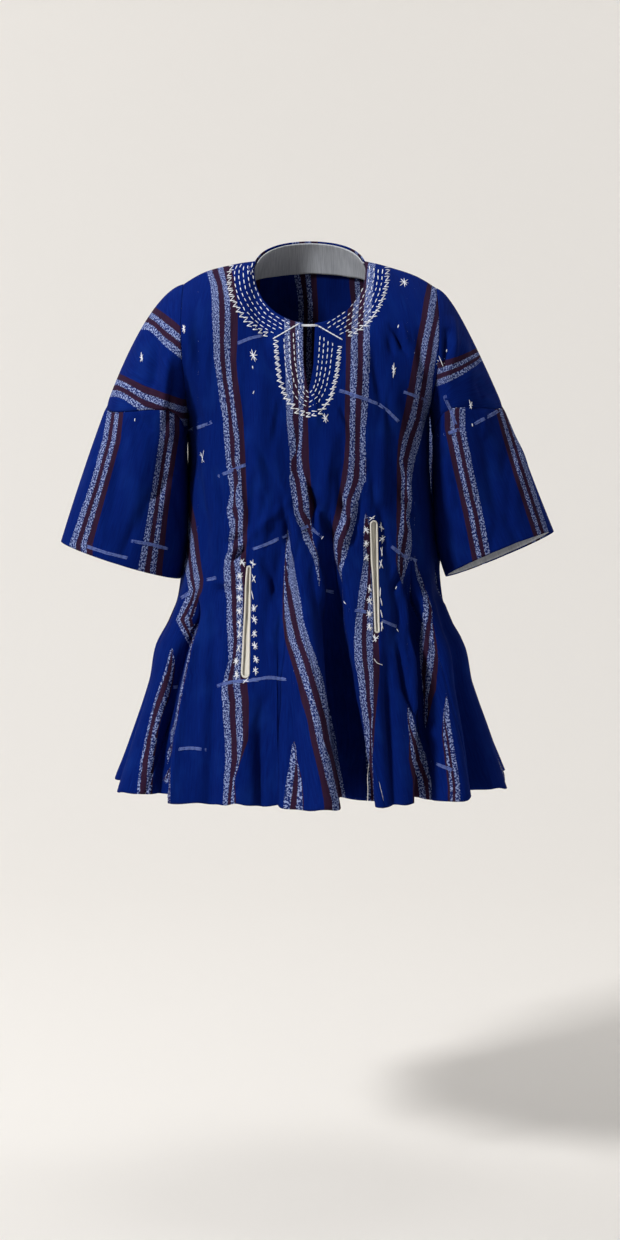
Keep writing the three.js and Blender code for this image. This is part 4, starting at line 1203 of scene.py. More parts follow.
def dress_back():
    """Back with guessed stripes."""
    points = shaped_body(back_at, back_v[:, None], True)
    sets = hidden_sets(back_v[:, None], HIDDEN_BODY_SETS)
    layers = [("Cloth", cloth_measure(points)), ("Stripes", stripe_layer(back_at, sets, CLOTH_SPAN))]
    dress_piece("back_cloth", "back_body", points, back_keep, layers, blue_cloth)


def gore_grid(gore, is_back):
    """Places and heights of a gore between its two seams, from its point down to the hem."""
    v = np.linspace(HEM, SKIRT_LEVELS[gore[1]] - GORE_POINT_GAP, GORE_ROWS)
    left, right = gore_edge(gore, "left", v), gore_edge(gore, "right", v)
    low, high = left + seam_share(left, v, is_back), right - seam_share(right, v, is_back)
    high = np.maximum(high, low + 1e-4)
    return low[:, None] + (high - low)[:, None] * np.linspace(0, 1, GORE_COLUMNS), v


def dress_gore(gore, is_back, is_mirrored):
    """Gore of the front with the photo's stripes, or of the back with one guessed set down its middle."""
    name, row, apex, left, right = gore
    at, v = gore_grid(gore, is_back)
    points = shaped_body(at, v[:, None], is_back)
    if is_back:
        middle = (left + right) / 2
        sway = (apex - middle) * np.clip((v - HEM) / (SKIRT_LEVELS[row] - HEM), 0, 1)
        middle = (middle + sway)[:, None]
        to_left, to_right = BACK_GORE_SET
        stripes = stripe_layer(at, [plain_set(middle - to_left, middle + to_right, is_mirrored)], CLOTH_SPAN)
    else:
        stripes = photo_stripes(points, FRONT_SETS)
    layers = [("Cloth", cloth_measure(points)), ("Stripes", stripes)]
    dress_piece(name.replace("gore", "gore_cloth"), name, points, all_cells(points), layers, blue_cloth)


def dress_side_gore(side, sign):
    """Gore in a side seam, half of it on the front's curve and half on the back's."""
    v = np.linspace(HEM, SKIRT_LEVELS[SIDE_GORE_ROW] - GORE_POINT_GAP, SIDE_GORE_ROWS)
    half = (1 - side_edge(v) - seam_share(side_edge(v), v, False))[:, None]
    at = sign + half * np.linspace(-1, 1, GORE_COLUMNS)
    z = np.broadcast_to(v[:, None], at.shape)
    dip = -SEAM_DEPTH * (bell((at - sign - half) * PLACE_SPAN, SEAM_WIDE)
                         + bell((at - sign + half) * PLACE_SPAN, SEAM_WIDE))
    points = body_points(at, z) + surface_normals(body_points, at, z) * dip[..., None]
    points[..., 2] += hem_wave(at, z, 1.1)
    to_left, to_right = SIDE_GORE_SET
    layers = [("Cloth", cloth_measure(points)),
              ("Stripes", stripe_layer(at, [plain_set(sign - to_left, sign + to_right)], CLOTH_SPAN))]
    dress_piece(f"gore_cloth_side_{side}", f"gore_side_{side}", points, all_cells(points), layers,
                blue_cloth)


dress_front()
dress_back()
for gore in FRONT_GORES:
    dress_gore(gore, False, False)
for i, gore in enumerate(BACK_GORES):
    dress_gore(gore, True, i > 1)
for side, sign in (("left", -1), ("right", 1)):
    dress_side_gore(side, sign)


# Sleeves
def seam_along(turn):
    """How far down the sleeve its seam lies at each turn."""
    return SEAM_AT_TOP + (SEAM_AT_UNDERARM - SEAM_AT_TOP) * (1 - np.cos(2 * math.pi * turn)) / 2


def sleeve_push(points, turn, along, side, phase):
    """Creases of a sleeve: the front ones from the photo, and like ones on its hidden half, both
    fading towards the top and the underarm; a groove where the two parts meet."""
    flat = to_photo(points * np.array([1, 0, 1]) - np.array([0, 20, 0]))
    front = np.clip(3 * np.sin(2 * math.pi * turn), 0, 1)
    back = np.clip(-3 * np.sin(2 * math.pi * turn), 0, 1)
    lines = SLEEVE_LINES[side]
    moved = [(x0 + 7, y0 + 9, x1 - 6, y1 + 4, -0.9 * depth, wide * 1.1)
             for x0, y0, x1, y1, depth, wide in lines]
    push = (line_push(flat, lines) * front + line_push(flat, moved) * back) * CREASE_DEPTH
    push += 0.4 * np.sin(turn * 2 * math.pi * 4 + 5 * along + phase) * np.sin(along * 6 + phase)
    push -= SEAM_DEPTH * bell((along - seam_along(turn)) * SLEEVE_SPAN, SLEEVE_SEAM_WIDE)
    return push * np.clip(along * 12, 0, 1) ** 0.7


def sleeve_cloth(sleeve, turn, along, inset=0.0):
    """Points of a sleeve with its creases, closed into a ring and set in by the inset."""
    side, sign = sleeve[:2]

    def surface(turns, places):
        return sleeve_points(sleeve, turns, places)

    points = surface(turn, along)
    push = sleeve_push(points, turn, along, side, sign) - inset
    points = points + surface_normals(surface, turn, along) * sign * push[..., None]
    points[:, -1] = points[:, 0]
    return points


def dress_sleeve_part(sleeve, part):
    """Upper part down to the seam with its stripes round the arm, or lower part with them along it."""
    side, is_upper = sleeve[0], part == "upper"
    turns = np.linspace(0, 1, SLEEVE_TURNS)
    seam = seam_along(turns)
    low, high = (0 * seam, seam - SLEEVE_SEAM_HALF) if is_upper else (seam + SLEEVE_SEAM_HALF, 0 * seam + 1)
    along = low + (high - low) * np.linspace(0, 1, SLEEVE_ROWS[part])[:, None]
    points = sleeve_cloth(sleeve, np.broadcast_to(turns, along.shape), along)
    measure = cloth_measure(points)
    sets = UPPER_SLEEVE_SETS[side] if is_upper else LOWER_SLEEVE_SETS[side]
    layers = [("Cloth", measure[..., ::-1] if is_upper else measure),
              ("Stripes", photo_stripes(to_front(points), sets, is_band=is_upper))]
    dress_piece(f"sleeve_cloth_{part}_{side}", f"sleeve_{part}_{side}", points, all_cells(points), layers,
                blue_cloth, ring=True)


def dress_cuff(sleeve):
    """Pale facing inside the cuff, which follows the sleeve's own creases."""
    turn = np.broadcast_to(np.linspace(0, 1, SLEEVE_TURNS), (CUFF_LINING_ROWS, SLEEVE_TURNS))
    along = np.broadcast_to(np.linspace(*CUFF_LINING_SPAN, CUFF_LINING_ROWS)[:, None], turn.shape)
    points = sleeve_cloth(sleeve, turn, along, LINING_INSET)
    dress_piece(f"cuff_lining_{sleeve[0]}", f"cuff_facing_{sleeve[0]}", points, all_cells(points),
                [("Cloth", cloth_measure(points))], facing_cloth, THIN_CLOTH, ring=True)


def dress_neck_facing():
    """Pale facing inside the back of the neck, which follows the back's own creases."""
    rows, columns = NECK_LINING_SHAPE
    at = np.broadcast_to(np.linspace(-NECK_SHARE, NECK_SHARE, columns), (rows, columns))
    v = np.broadcast_to(np.linspace(*NECK_LINING_SPAN, rows)[:, None], at.shape) * -ARMPIT + ARMPIT
    push = LINING_INSET - body_push(at, v, True, back_surface)
    points = back_surface(at, v) + surface_normals(back_surface, at, v) * push[..., None]
    dress_piece("neck_lining", "neck_facing", points, all_cells(points),
                [("Cloth", cloth_measure(points))], facing_cloth, THIN_CLOTH)


for sleeve in SLEEVES:
    dress_sleeve_part(sleeve, "upper")
    dress_sleeve_part(sleeve, "lower")
    dress_cuff(sleeve)
dress_neck_facing()


# Pockets: cream edges round each slit, and the pocket cloth behind it, in millimetres
WELT_GAP = 0.2
WELT_FIT = 0.98
WELT_HEIGHT = 1.15
POCKET_OVERLAP = 7
POCKET_HALF = 9
POCKET_ROWS, POCKET_COLUMNS = 60, 14
POCKET_SAG = 0.25


def front_at_x(x, z):
    """Place across the front where the cloth at height z has this x."""
    line = cloth_points(MIDDLE_PLACES, np.full(MIDDLE_PLACES.shape, z), False)[:, 0]
    near = np.abs(line - x) < NEAR_X
    return float(np.interp(x, line[near], MIDDLE_PLACES[near]))


def front_normals(at, v):
    """Outward normals of the front's main form."""
    return surface_normals(front_surface, at, v)


def welt_points(pocket):
    """Cream edge: a flattened tube carried round the slit, between its outer and inner outline."""
    _, top_x, top_z, foot_x, foot_z, top_half, foot_half, top_open, foot_open = pocket
    turn = np.linspace(-math.pi, 0, 12)
    run = np.linspace(0, 1, 40)[1:-1]
    outer, inner = [], []
    for edge, top_w, foot_w in ((outer, top_half - WELT_GAP, foot_half - WELT_GAP),
                                (inner, top_open, foot_open)):
        edge += [(foot_x + foot_w * math.cos(a), foot_z + foot_w * math.sin(a)) for a in turn]
        edge += [(foot_x + (top_x - foot_x) * t + foot_w + (top_w - foot_w) * t,
                  foot_z + (top_z - foot_z) * t) for t in run]
        edge += [(top_x - top_w * math.cos(a), top_z - top_w * math.sin(a)) for a in turn]
        edge += [(foot_x + (top_x - foot_x) * t - foot_w - (top_w - foot_w) * t,
                  foot_z + (top_z - foot_z) * t) for t in run[::-1]]
    rings = []
    for edge in (outer, inner):
        at = np.array([front_at_x(x, z) for x, z in edge])
        z = np.array([z for _, z in edge])
        normal = front_normals(at, z)
        push = body_push(at, z, False, front_surface)[:, None]
        rings.append((front_surface(at, z) + normal * push, normal))
    middle = (rings[0][0] + rings[1][0]) / 2
    reach = rings[0][0] - middle
    angle = np.linspace(0, 2 * math.pi, 11)
    ring = np.cos(angle)[None, :, None] * reach[:, None] * WELT_FIT
    ring = ring + np.sin(angle)[None, :, None] * rings[0][1][:, None] * WELT_HEIGHT
    points = middle[:, None] + ring
    points = np.concatenate([points, points[:1]])
    points[:, -1] = points[:, 0]
    return points


def dress_pocket_edge(pocket):
    """The cream edge as one closed mesh whose faces point outwards."""
    side = pocket[0]
    points = welt_points(pocket)
    rows, columns = points.shape[:2]
    index = np.arange((rows - 1) * (columns - 1)).reshape(rows - 1, columns - 1)
    across, up = np.roll(index, -1, axis=1), np.roll(index, -1, axis=0)
    faces = np.stack([index, across, np.roll(up, -1, axis=1), up], -1).reshape(-1, 4)
    length = np.linspace(0, 20, rows - 1)
    measure = np.stack(np.broadcast_arrays(np.linspace(0, 0.5, columns - 1), length[:, None]), -1)
    piece = make_mesh(f"pocket_edge_{side}", points[:-1, :-1].reshape(-1, 3), faces.tolist(),
                      [("Cloth", measure.reshape(-1, 2))], cream_cloth)
    volume_sign = np.einsum("ij,ij->", np.cross(points[:-1, 1] - points[:-1, 0],
                                                points[1:, 0] - points[:-1, 0]),
                            points[:-1, 0] - points[:-1, :-1].mean(axis=1))
    if volume_sign < 0:
        piece.data.flip_normals()
    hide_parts(f"pocket_binding_{side}")


def dress_pocket_cloth(pocket):
    """Cream cloth behind the slit, which sags a little between its edges."""
    side, top_x, top_z, foot_x, foot_z = pocket[:5]
    z = np.linspace(foot_z - POCKET_OVERLAP, top_z + POCKET_OVERLAP, POCKET_ROWS)
    centre = foot_x + (top_x - foot_x) * (z - foot_z) / (top_z - foot_z)
    left = np.array([front_at_x(x - POCKET_HALF, height) for x, height in zip(centre, z)])
    right = np.array([front_at_x(x + POCKET_HALF, height) for x, height in zip(centre, z)])
    at = left[:, None] + (right - left)[:, None] * np.linspace(0, 1, POCKET_COLUMNS)
    level = np.broadcast_to(z[:, None], at.shape)
    sag = POCKET_SAG * np.sin(np.linspace(0, math.pi, POCKET_COLUMNS)) * (1 + np.sin(level * 0.2))
    push = body_push(at, level, False, front_surface) - LINING_INSET - sag
    points = front_surface(at, level) + front_normals(at, level) * push[..., None]
    dress_piece(f"pocket_cloth_{side}", f"pocket_lining_{side}", points, all_cells(points),
                [("Cloth", cloth_measure(points))], cream_cloth, THIN_CLOTH)


for pocket in POCKETS:
    dress_pocket_edge(pocket)
    dress_pocket_cloth(pocket)


# Embroidery, placed by photo pixels on the cloth that carries it
STITCH_RINGS = np.array([-0.44, -0.25, 0.0, 0.25, 0.44])
STITCH_SIDES = 6
LONGEST_STITCH = 25
PATH_STEP = 0.5
ROW_THREAD, BORDER_THREAD = 0.95, 1.1
ROW_GAP = 2.0


def find_cloth():
    """Search tree over the outside of every blue cloth piece, in millimetres."""
    points, faces, first = [], [], 0
    for piece in bpy.context.scene.objects:
        if not piece.name.startswith(("front_cloth", "gore_cloth", "sleeve_cloth", "back_cloth")):
            continue
        mesh = piece.data
        corners = np.empty(len(mesh.vertices) * 3)
        mesh.vertices.foreach_get("co", corners)
        points += (corners.reshape(-1, 3) / MM).tolist()
        faces += [[first + i for i in polygon.vertices] for polygon in mesh.polygons]
        first += len(mesh.vertices)
    return BVHTree.FromPolygons(points, faces)


def photo_ray(x, y):
    """Direction from the camera through a pixel: forward, plus across and up over the focal length."""
    aim = FORWARD + np.array([1.0, 0, 0]) * (x - PHOTO_WIDTH / 2) / FOCAL_PIXELS
    aim = aim + UPWARD * (PHOTO_HEIGHT / 2 - y) / FOCAL_PIXELS
    return Vector(aim.tolist()).normalized()


def on_cloth(x, y):
    """Point and normal of the cloth's outside at a photo pixel, or None beside the cloth."""
    hit, normal, _, _ = cloth_tree.ray_cast(Vector(CAMERA_AT.tolist()), photo_ray(x, y))
    if hit is None:
        return None
    normal = np.array(normal)
    if normal @ np.array(photo_ray(x, y)) > 0:
        normal = -normal
    return np.array(hit) + normal * CLOTH / 2, normal


def even_path(pixels, step):
    """Points a fixed step apart along a broken line of pixels."""
    pixels = np.array(pixels, float)
    length = np.concatenate([[0], np.cumsum(np.linalg.norm(np.diff(pixels, axis=0), axis=1))])
    count = max(int(round(length[-1] / step)), 1)
    at = np.linspace(0, length[-1], count + 1)
    return np.stack([np.interp(at, length, pixels[:, 0]), np.interp(at, length, pixels[:, 1])], -1)


def stitch_mesh(name, stitches, material):
    """Joined stitches. Each is a tube of six sides along its line, whose half width is the square
    root of (1 minus its reach squared), arched up by the same curve and closed at both ends."""
    start = np.array([s[0] for s in stitches])
    end = np.array([s[1] for s in stitches])
    normal = np.array([s[2] for s in stitches])
    wide = np.array([s[3] for s in stitches])[:, None, None, None]
    run = end - start
    side = np.cross(normal, run)
    side /= np.maximum(np.linalg.norm(side, axis=1, keepdims=True), 1e-9)
    angle = np.arange(STITCH_SIDES) * 2 * math.pi / STITCH_SIDES
    swell = np.sqrt(1 - (2 * STITCH_RINGS) ** 2 * 0.96)
    middle = (start + end) / 2
    centre = middle[:, None] + run[:, None] * STITCH_RINGS[None, :, None]
    centre = centre + normal[:, None] * (wide[:, 0] * 0.25 * swell[None, :, None])
    ring = (side[:, None, None] * np.cos(angle)[None, None, :, None]
            + normal[:, None, None] * np.sin(angle)[None, None, :, None] * 0.75)
    rings = centre[:, :, None] + ring * wide / 2 * swell[None, :, None, None]
    rings = rings.reshape(len(stitches), -1, 3)
    points = np.concatenate([rings, start[:, None], end[:, None]], axis=1)
    count = points.shape[1]
    index = np.arange(len(STITCH_RINGS) * STITCH_SIDES).reshape(-1, STITCH_SIDES)
    turned = np.roll(index, -1, axis=1)
    quads = np.stack([index[:-1], index[1:], turned[1:], turned[:-1]], -1).reshape(-1, 4)
    low = np.stack([index[0], turned[0], np.full(STITCH_SIDES, count - 2)], -1)
    high = np.stack([turned[-1], index[-1], np.full(STITCH_SIDES, count - 1)], -1)
    shift = np.arange(len(stitches))[:, None, None] * count
    faces = (quads[None] + shift).reshape(-1, 4).tolist()
    faces += (low[None] + shift).reshape(-1, 3).tolist() + (high[None] + shift).reshape(-1, 3).tolist()
    along = np.concatenate([np.repeat(STITCH_RINGS + 0.5, STITCH_SIDES), [0, 1]])
    around_it = np.concatenate([np.tile(angle / 2 / math.pi, len(STITCH_RINGS)), [0, 0]])
    length = np.linalg.norm(run, axis=1)[:, None] / 10
    cloth = np.stack([along[None] * length, np.broadcast_to(around_it, (len(stitches), count))], -1)
    piece = make_mesh(name, points.reshape(-1, 3), faces, [("Cloth", cloth.reshape(-1, 2))], material)


def stitch_between(first, second, wide):
    """One stitch between two photo pixels, on the cloth at both of them."""
    low, high = on_cloth(*first), on_cloth(*second)
    if low is None or high is None or np.linalg.norm(low[0] - high[0]) > LONGEST_STITCH:
        return []
    normal = low[1] + high[1]
    return [(low[0], high[0], normal / np.linalg.norm(normal), wide)]


def running_stitches(pixels, dash, gap, wide, wander=0.2):
    """Dashes along a line of pixels, each a little out of line and of uneven length."""
    path = even_path(pixels, PATH_STEP)
    made, at = [], 0.0
    while at + dash < (len(path) - 1) * PATH_STEP:
        length = dash * rng.uniform(0.85, 1.15)
        first = path[int(at / PATH_STEP)]
        last = path[min(int((at + length) / PATH_STEP), len(path) - 1)]
        shake = rng.normal(0, wander, 4)
        made += stitch_between(first + shake[:2], last + shake[2:], wide * rng.uniform(0.9, 1.1))
        at += length + gap * rng.uniform(0.85, 1.2)
    return made


def cord(pixels, step, wide, wander=0.0):
    """Stitches that overlap into one unbroken line."""
    path = even_path(pixels, step)
    path = path + rng.normal(0, 1, path.shape) * wander
    run = np.diff(path, axis=0) * 0.14
    made = []
    for i in range(len(path) - 1):
        made += stitch_between(path[i] - run[i], path[i + 1] + run[i], wide)
    return made


def zed_stitches(pixels, step, wide):
    """Border of Z shapes: at each step a bar, a slanting stitch and a second bar."""
    made = []
    for x, y in even_path(pixels, step)[:-1]:
        turn = rng.normal(0, 0.1)
        corners = np.array([(-2.5, -2.1), (2.5, -2.1), (-2.5, 2.1), (2.5, 2.1)]) * rng.uniform(0.95, 1.05)
        corners = corners @ np.array([[math.cos(turn), math.sin(turn)], [-math.sin(turn), math.cos(turn)]])
        corners = corners + (x, y) + rng.normal(0, 0.12, (4, 2))
        for first, second, share in ((0, 1, 1.15), (1, 2, 0.8), (2, 3, 1.15)):
            made += stitch_between(corners[first], corners[second], wide * share * rng.uniform(0.9, 1.1))
    return made


STAR_ARMS = [(1.5, 1.0), (0.25, 0.72), (-0.72, 0.9), (0.95, 0.86)]


def star_stitches(x, y, half_wide, half_high, wide):
    """Star: four straight stitches through one point, each with its own turn and length."""
    made = []
    turn = rng.uniform(-0.3, 0.3)
    for i, (angle, length) in enumerate(STAR_ARMS):
        angle = angle + turn + rng.uniform(-0.15, 0.15)
        arm = np.array([math.cos(angle) * half_wide, math.sin(angle) * half_high]) * length
        arm = arm * rng.uniform(0.85, 1.15)
        middle = np.array([x, y]) + rng.normal(0, 0.35, 2)
        for start, end, normal, thick in stitch_between(middle - arm, middle + arm, wide):
            lift = normal * wide * 0.16 * i
            made.append((start + lift * 0.3, end + lift * 0.3, normal, thick))
    return made


def between(inner, outer, share, count=60):
    """Line a share of the way from one line of pixels to another."""
    low, high = (np.array(line, float) for line in (inner, outer))
    paths = []
    for line in (low, high):
        length = np.concatenate([[0], np.cumsum(np.linalg.norm(np.diff(line, axis=0), axis=1))])
        at = np.linspace(0, length[-1], count)
        paths.append(np.stack([np.interp(at, length, line[:, 0]), np.interp(at, length, line[:, 1])], -1))
    return paths[0] + (paths[1] - paths[0]) * share


# Band round the back of the neck, in millimetres: depth, reach past the neck in place, points, Z shapes
BAND_DEPTH = 25.0
BAND_REACH = 0.18
BAND_POINTS = 260
ZED_HALF_HEIGHT = 2.5
ZED_WIDTH = 4.4


def back_band(depth):
    """Line round the back of the neck at a depth in millimetres below its edge: it leaves the
    shoulder line that far out, and runs that far below the edge in the middle."""
    share = np.linspace(-1, 1, BAND_POINTS)
    at = share * (NECK_SHARE + BAND_REACH * depth / BAND_DEPTH)
    v = -depth * (1 - np.abs(share) ** 5)
    points = back_surface(at, v)
    normal = -surface_normals(back_surface, at, v - 2 * STEP)
    return points + normal * CLOTH / 2, normal


def back_dashes(depth, dash, gap, wide):
    """Running stitches along a line round the back of the neck, in millimetres."""
    points, normal = back_band(depth)
    length = np.concatenate([[0], np.cumsum(np.linalg.norm(np.diff(points, axis=0), axis=1))])
    starts = np.arange(0, length[-1] - dash, dash + gap)
    starts = starts + rng.normal(0, 0.15, len(starts))

    def at(distance, values):
        return np.stack([np.interp(distance, length, values[:, i]) for i in range(3)], -1)
    ends = starts + dash * rng.uniform(0.85, 1.15, len(starts))
    return list(zip(at(starts, points), at(ends, points), at(starts, normal), np.full(len(starts), wide)))


def back_zeds(depth, step, wide):
    """Z shapes round the back of the neck: bar, slant and bar between two lines five apart."""
    upper, normal = back_band(depth - ZED_HALF_HEIGHT)
    lower, _ = back_band(depth + ZED_HALF_HEIGHT)
    length = np.linalg.norm(np.diff(upper, axis=0), axis=1).sum()
    picks = np.linspace(2, BAND_POINTS - 5, int(length / step)).astype(int)
    span = max(int(round(ZED_WIDTH / length * BAND_POINTS)), 2)
    made = []
    for i in picks:
        j = min(i + span, BAND_POINTS - 1)
        for start, end in ((upper[i], upper[j]), (upper[j], lower[i]), (lower[i], lower[j])):
            made.append((start, end, normal[i], wide * rng.uniform(0.9, 1.1)))
    return made


NECK_EDGE = {
    "left": [(262, 251), (256.5, 262), (256, 270), (258, 283), (264.5, 298), (275, 311), (288, 319),
             (299, 325)],
    "right": [(354.5, 254), (361, 263), (362, 272), (360, 286), (352, 299), (340, 311), (328, 318),
              (318.5, 325)],
}
BAND_EDGE = {
    "left": [(234, 263), (229.5, 274), (229.5, 287), (232.5, 300), (239.5, 313), (249, 324), (262, 332.5),
             (271, 337.5)],
    "right": [(386, 260), (387.5, 270), (387, 283), (384, 296), (377, 312), (366, 325), (355, 332.5),
              (344.5, 337)],
}
SLIT_EDGE = [(301, 329), (301.6, 350), (303, 372), (305.4, 386), (309, 391), (312.8, 386), (315, 372),
             (316.6, 350), (317.5, 329)]
PLACKET_EDGE = [(276, 343), (277, 359), (279.5, 380), (287, 400), (297.5, 411.5), (309, 415),
                (320.5, 411.5),
                (330.5, 398.6), (336.5, 376), (339, 355), (340, 343)]
SLIT_CORNERS = [[(299, 324), (273.5, 339)], [(318.5, 326.5), (342, 340)]]
SLIT_BAR = [(301.2, 326), (318.2, 326)]
# Small stars along the pockets
POCKET_STARS = [
    (242.3, 563), (240.3, 576), (240.3, 587.4), (239.7, 598.7), (239.5, 611), (239.5, 623.7),
    (239.8, 634.4), (239.5, 648), (237, 661.4), (237, 674.7), (253, 563), (254, 578.8), (253, 595.6),
    (254, 608.4), (254.6, 619.6), (254.3, 633.9), (255, 646), (256, 659.4), (255.6, 670.6), (246, 681),
    (366, 529.6), (366, 544), (366.4, 558), (369.4, 589), (369.6, 601), (369.4, 613.8), (369.4, 627.5),
    (381, 527), (382, 539), (381, 551.5), (380.3, 563.8), (380, 577.5), (379.8, 592), (380.6, 602),
    (381, 613.8), (381.6, 626), (371.4, 518), (375.5, 638.8),
]
# Other stars: place, half width, half height
LOOSE_STARS = [(250.5, 270.5, 3.2, 4), (253.5, 356, 5.2, 7.2), (203.5, 457, 4.8, 6.2),
               (404, 283, 5.8, 4.4),
               (393.5, 370, 2.6, 6.8), (325, 418, 4.6, 5.6), (432, 482, 1.8, 6.6), (441, 361.5, 6, 6.2),
               (470.5, 405, 2.6, 4.8), (142, 358, 2.2, 4.8), (184, 329, 2.4, 5)]
# Short ends of white thread
KNOTS = [(345.3, 602.5), (396.2, 588), (397, 630.5), (322, 537.5), (253, 367.5), (254, 392.5),
         (398.5, 326.5),
         (447, 351), (472, 425), (135, 420)]
LOOSE_END = [(374, 659), (376.5, 663), (382, 665)]
# Loose weft threads that lie across the cloth, as lines of pixels
WEFT_FLOATS = [
    [(238, 343.5), (250, 338.5), (262, 336)], [(183.6, 432), (198, 427.6), (212, 422.5)],
    [(219, 476), (232, 470.5), (245.6, 465)], [(254, 549), (272, 542), (287, 535)],
    [(291, 533), (311.5, 525)], [(312, 529), (322, 537)],
    [(339.7, 390.5), (358, 396.6), (377, 403.7)], [(379, 405), (388, 411), (398, 421)],
    [(403.6, 392), (417, 396.5), (430, 402.5)], [(445, 396), (451, 410), (456, 424)],
    [(439.4, 435.6), (452, 432), (463.8, 428)], [(475, 423.6), (488, 416.5), (501.5, 409)],
    [(132, 541), (150, 544), (167, 548.5)], [(87.6, 546.6), (107, 553), (127, 558)],
    [(350, 609.8), (366, 612)], [(382, 621), (396, 627)], [(321, 590), (333, 591.8)],
    [(218, 686), (232, 682), (258, 680)], [(252, 680), (270, 677.5), (286, 679.5)],
    [(174, 750), (191, 748), (206, 749.8)], [(391.5, 546.6), (403, 556), (415.8, 560.5)],
    [(324, 735), (329, 734)], [(182, 598), (189, 593.5)], [(208, 580), (216, 578)],
    [(432, 762), (441, 766), (452, 770)], [(173, 687), (182, 687)],
]


def sew_neck():
    """Rows of running stitches and the border of Z shapes, round the neck and its slit."""
    rows, border = [], []
    for side in ("left", "right"):
        for share in (0.16, 0.32, 0.48, 0.64, 0.8):
            line = between(NECK_EDGE[side], BAND_EDGE[side], share)
            rows += running_stitches(line, 4.0, ROW_GAP, ROW_THREAD)
        border += zed_stitches(BAND_EDGE[side], 6.4, BORDER_THREAD)
    for share in (0.12, 0.3, 0.49, 0.68):
        rows += running_stitches(between(SLIT_EDGE, PLACKET_EDGE, share, 90), 3.9, ROW_GAP, ROW_THREAD)
    border += zed_stitches(PLACKET_EDGE, 6.2, BORDER_THREAD)
    for line in SLIT_CORNERS:
        border += cord(line, 4.0, 1.5)
    for depth in (3.2, 7.4, 11.4, 15.4, 19.4):
        rows += back_dashes(depth, 4.0, ROW_GAP, ROW_THREAD)
    border += back_zeds(BAND_DEPTH, 6.2, 1.25)
    stitch_mesh("neck_band_running_stitches", rows, white_thread)
    stitch_mesh("neck_band_border", border, white_thread)


def sew_stars():
    """Stars beside the pockets and across the cloth, with the short ends of thread."""
    stars = []
    for x, y in POCKET_STARS:
        stars += star_stitches(x, y, 4.1, 4.7, 1.05)
    for x, y, half_wide, half_high in LOOSE_STARS:
        stars += star_stitches(x, y, half_wide, half_high, 1.0)
    for x, y in KNOTS:
        slant = rng.uniform(-1.2, 1.2)
        stars += stitch_between((x - slant, y - 1.6), (x + slant, y + 1.6), 1.1)
    stars += cord(LOOSE_END, 3.0, 0.8)
    stitch_mesh("star_stitches", stars, white_thread)


def sew_weft_floats():
    """Loose weft threads, each a strip of four cords side by side."""
    floats = []
    for line in WEFT_FLOATS:
        path = np.array(line, float)
        run = path[-1] - path[0]
        side = np.array([-run[1], run[0]]) / np.linalg.norm(run)
        for shift in (-1.2, -0.4, 0.4, 1.2):
            floats += cord(path + side * shift, 5.0, 0.85, 0.16)
    stitch_mesh("weft_floats", floats, pale_thread)


def sew_slit_bar():
    """Three threads across the top of the slit, each with its own shift up and lift off the cloth."""
    start, end = (on_cloth(*pixel) for pixel in SLIT_BAR)
    bar = []
    for shift, lift in ((-0.5, 0.2), (0.3, 0.5), (0.9, 0.1)):
        off = np.array([0, -lift, shift])
        bar.append((start[0] + off, end[0] + off, start[1], 0.9))
    stitch_mesh("neck_slit_thread_bar", bar, white_thread)


cloth_tree = find_cloth()
sew_neck()
sew_stars()
sew_weft_floats()
sew_slit_bar()


# Camera, floor and light
camera = bpy.data.cameras.new("camera")
camera.sensor_width = SENSOR
camera.lens = FOCAL_PIXELS * SENSOR / PHOTO_HEIGHT
camera.clip_end = 50
camera_object = bpy.data.objects.new("camera", camera)
camera_object.location = (CAMERA_AT * MM).tolist()
camera_object.rotation_euler = (math.radians(90) - TILT, 0, 0)
bpy.context.scene.collection.objects.link(camera_object)
bpy.context.scene.camera = camera_object


# Backdrop and lights, in metres and watts
FLOOR_FRONT, FLOOR_MIDDLE = -6.0, 0.5
FLOOR_DROP = 0.93
CURVE_FROM, CURVE_RADIUS = 1.2, 1.6
WALL_AT, WALL_TOP = 2.8, 6.0
BACKDROP_HALF = 7.0
PAPER = (0.86, 0.83, 0.79, 1)
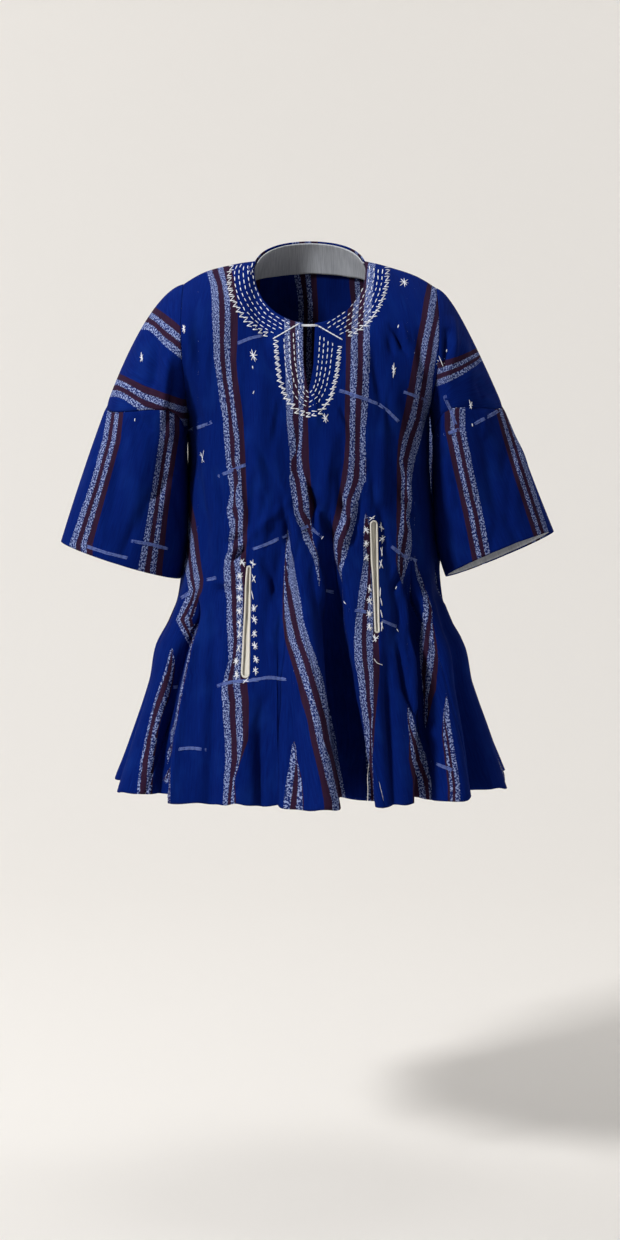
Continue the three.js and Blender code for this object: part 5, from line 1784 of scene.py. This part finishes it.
# Lights: name, place, where it points, size, power
LIGHTS = [
    ("key light", (-1.75, -1.5, 1.7), (0, 0, -0.2), (0.45, 0.45), 80),
    ("fill light", (1.9, -2.4, 0.3), (0, 0, -0.3), (1.2, 1.6), 3),
    ("top light", (0.1, 0.3, 2.0), (0, 0, -0.2), (1.4, 1.0), 14),
    ("wall light left", (-2.6, 0.9, 1.5), (-0.4, WALL_AT, 0.1), (1.6, 1.6), 32),
    ("wall light right", (2.6, 0.9, 1.5), (0.4, WALL_AT, 0.1), (1.6, 1.6), 33),
]
WORLD_COLOUR, WORLD_STRENGTH = (0.95, 0.96, 1.0, 1), 0.06


def make_backdrop():
    """Pale floor that curves up into a wall behind: a quarter circle carried across."""
    angle = np.linspace(0, math.pi / 2, 24)
    y = np.concatenate([[FLOOR_FRONT, FLOOR_MIDDLE], CURVE_FROM + CURVE_RADIUS * np.sin(angle), [WALL_AT]])
    z = np.concatenate([[0.0, 0.0], CURVE_RADIUS - CURVE_RADIUS * np.cos(angle), [WALL_TOP]]) - FLOOR_DROP
    x = np.array([-BACKDROP_HALF, BACKDROP_HALF])
    points = np.stack([np.broadcast_to(x, (len(y), 2)), np.repeat(y[:, None], 2, 1),
                       np.repeat(z[:, None], 2, 1)], -1)
    index = np.arange(len(y) * 2).reshape(-1, 2)
    faces = np.stack([index[:-1, 0], index[:-1, 1], index[1:, 1], index[1:, 0]], -1)
    mesh = bpy.data.meshes.new("backdrop")
    mesh.from_pydata(points.reshape(-1, 3).tolist(), [], faces.tolist())
    mesh.polygons.foreach_set("use_smooth", np.ones(len(faces), bool))
    material, _, shader = new_material("pale paper", 0.9)
    shader.inputs["Base Color"].default_value = PAPER
    mesh.materials.append(material)
    backdrop = bpy.data.objects.new("backdrop", mesh)
    bpy.context.scene.collection.objects.link(backdrop)


def soft_light(name, place, aim, size, power):
    """White area light at a place, turned towards its aim."""
    light = bpy.data.lights.new(name, "AREA")
    light.shape = "RECTANGLE"
    light.size, light.size_y = size
    light.energy = power
    lamp = bpy.data.objects.new(name, light)
    lamp.location = place
    lamp.rotation_euler = (Vector(aim) - Vector(place)).to_track_quat("-Z", "Y").to_euler()
    bpy.context.scene.collection.objects.link(lamp)


make_backdrop()
for light in LIGHTS:
    soft_light(*light)
world = bpy.data.worlds.new("studio")
bpy.context.scene.world = world
world.use_nodes = True
world.node_tree.nodes["Background"].inputs[0].default_value = WORLD_COLOUR
world.node_tree.nodes["Background"].inputs[1].default_value = WORLD_STRENGTH
bpy.context.scene.view_settings.view_transform = "Standard"
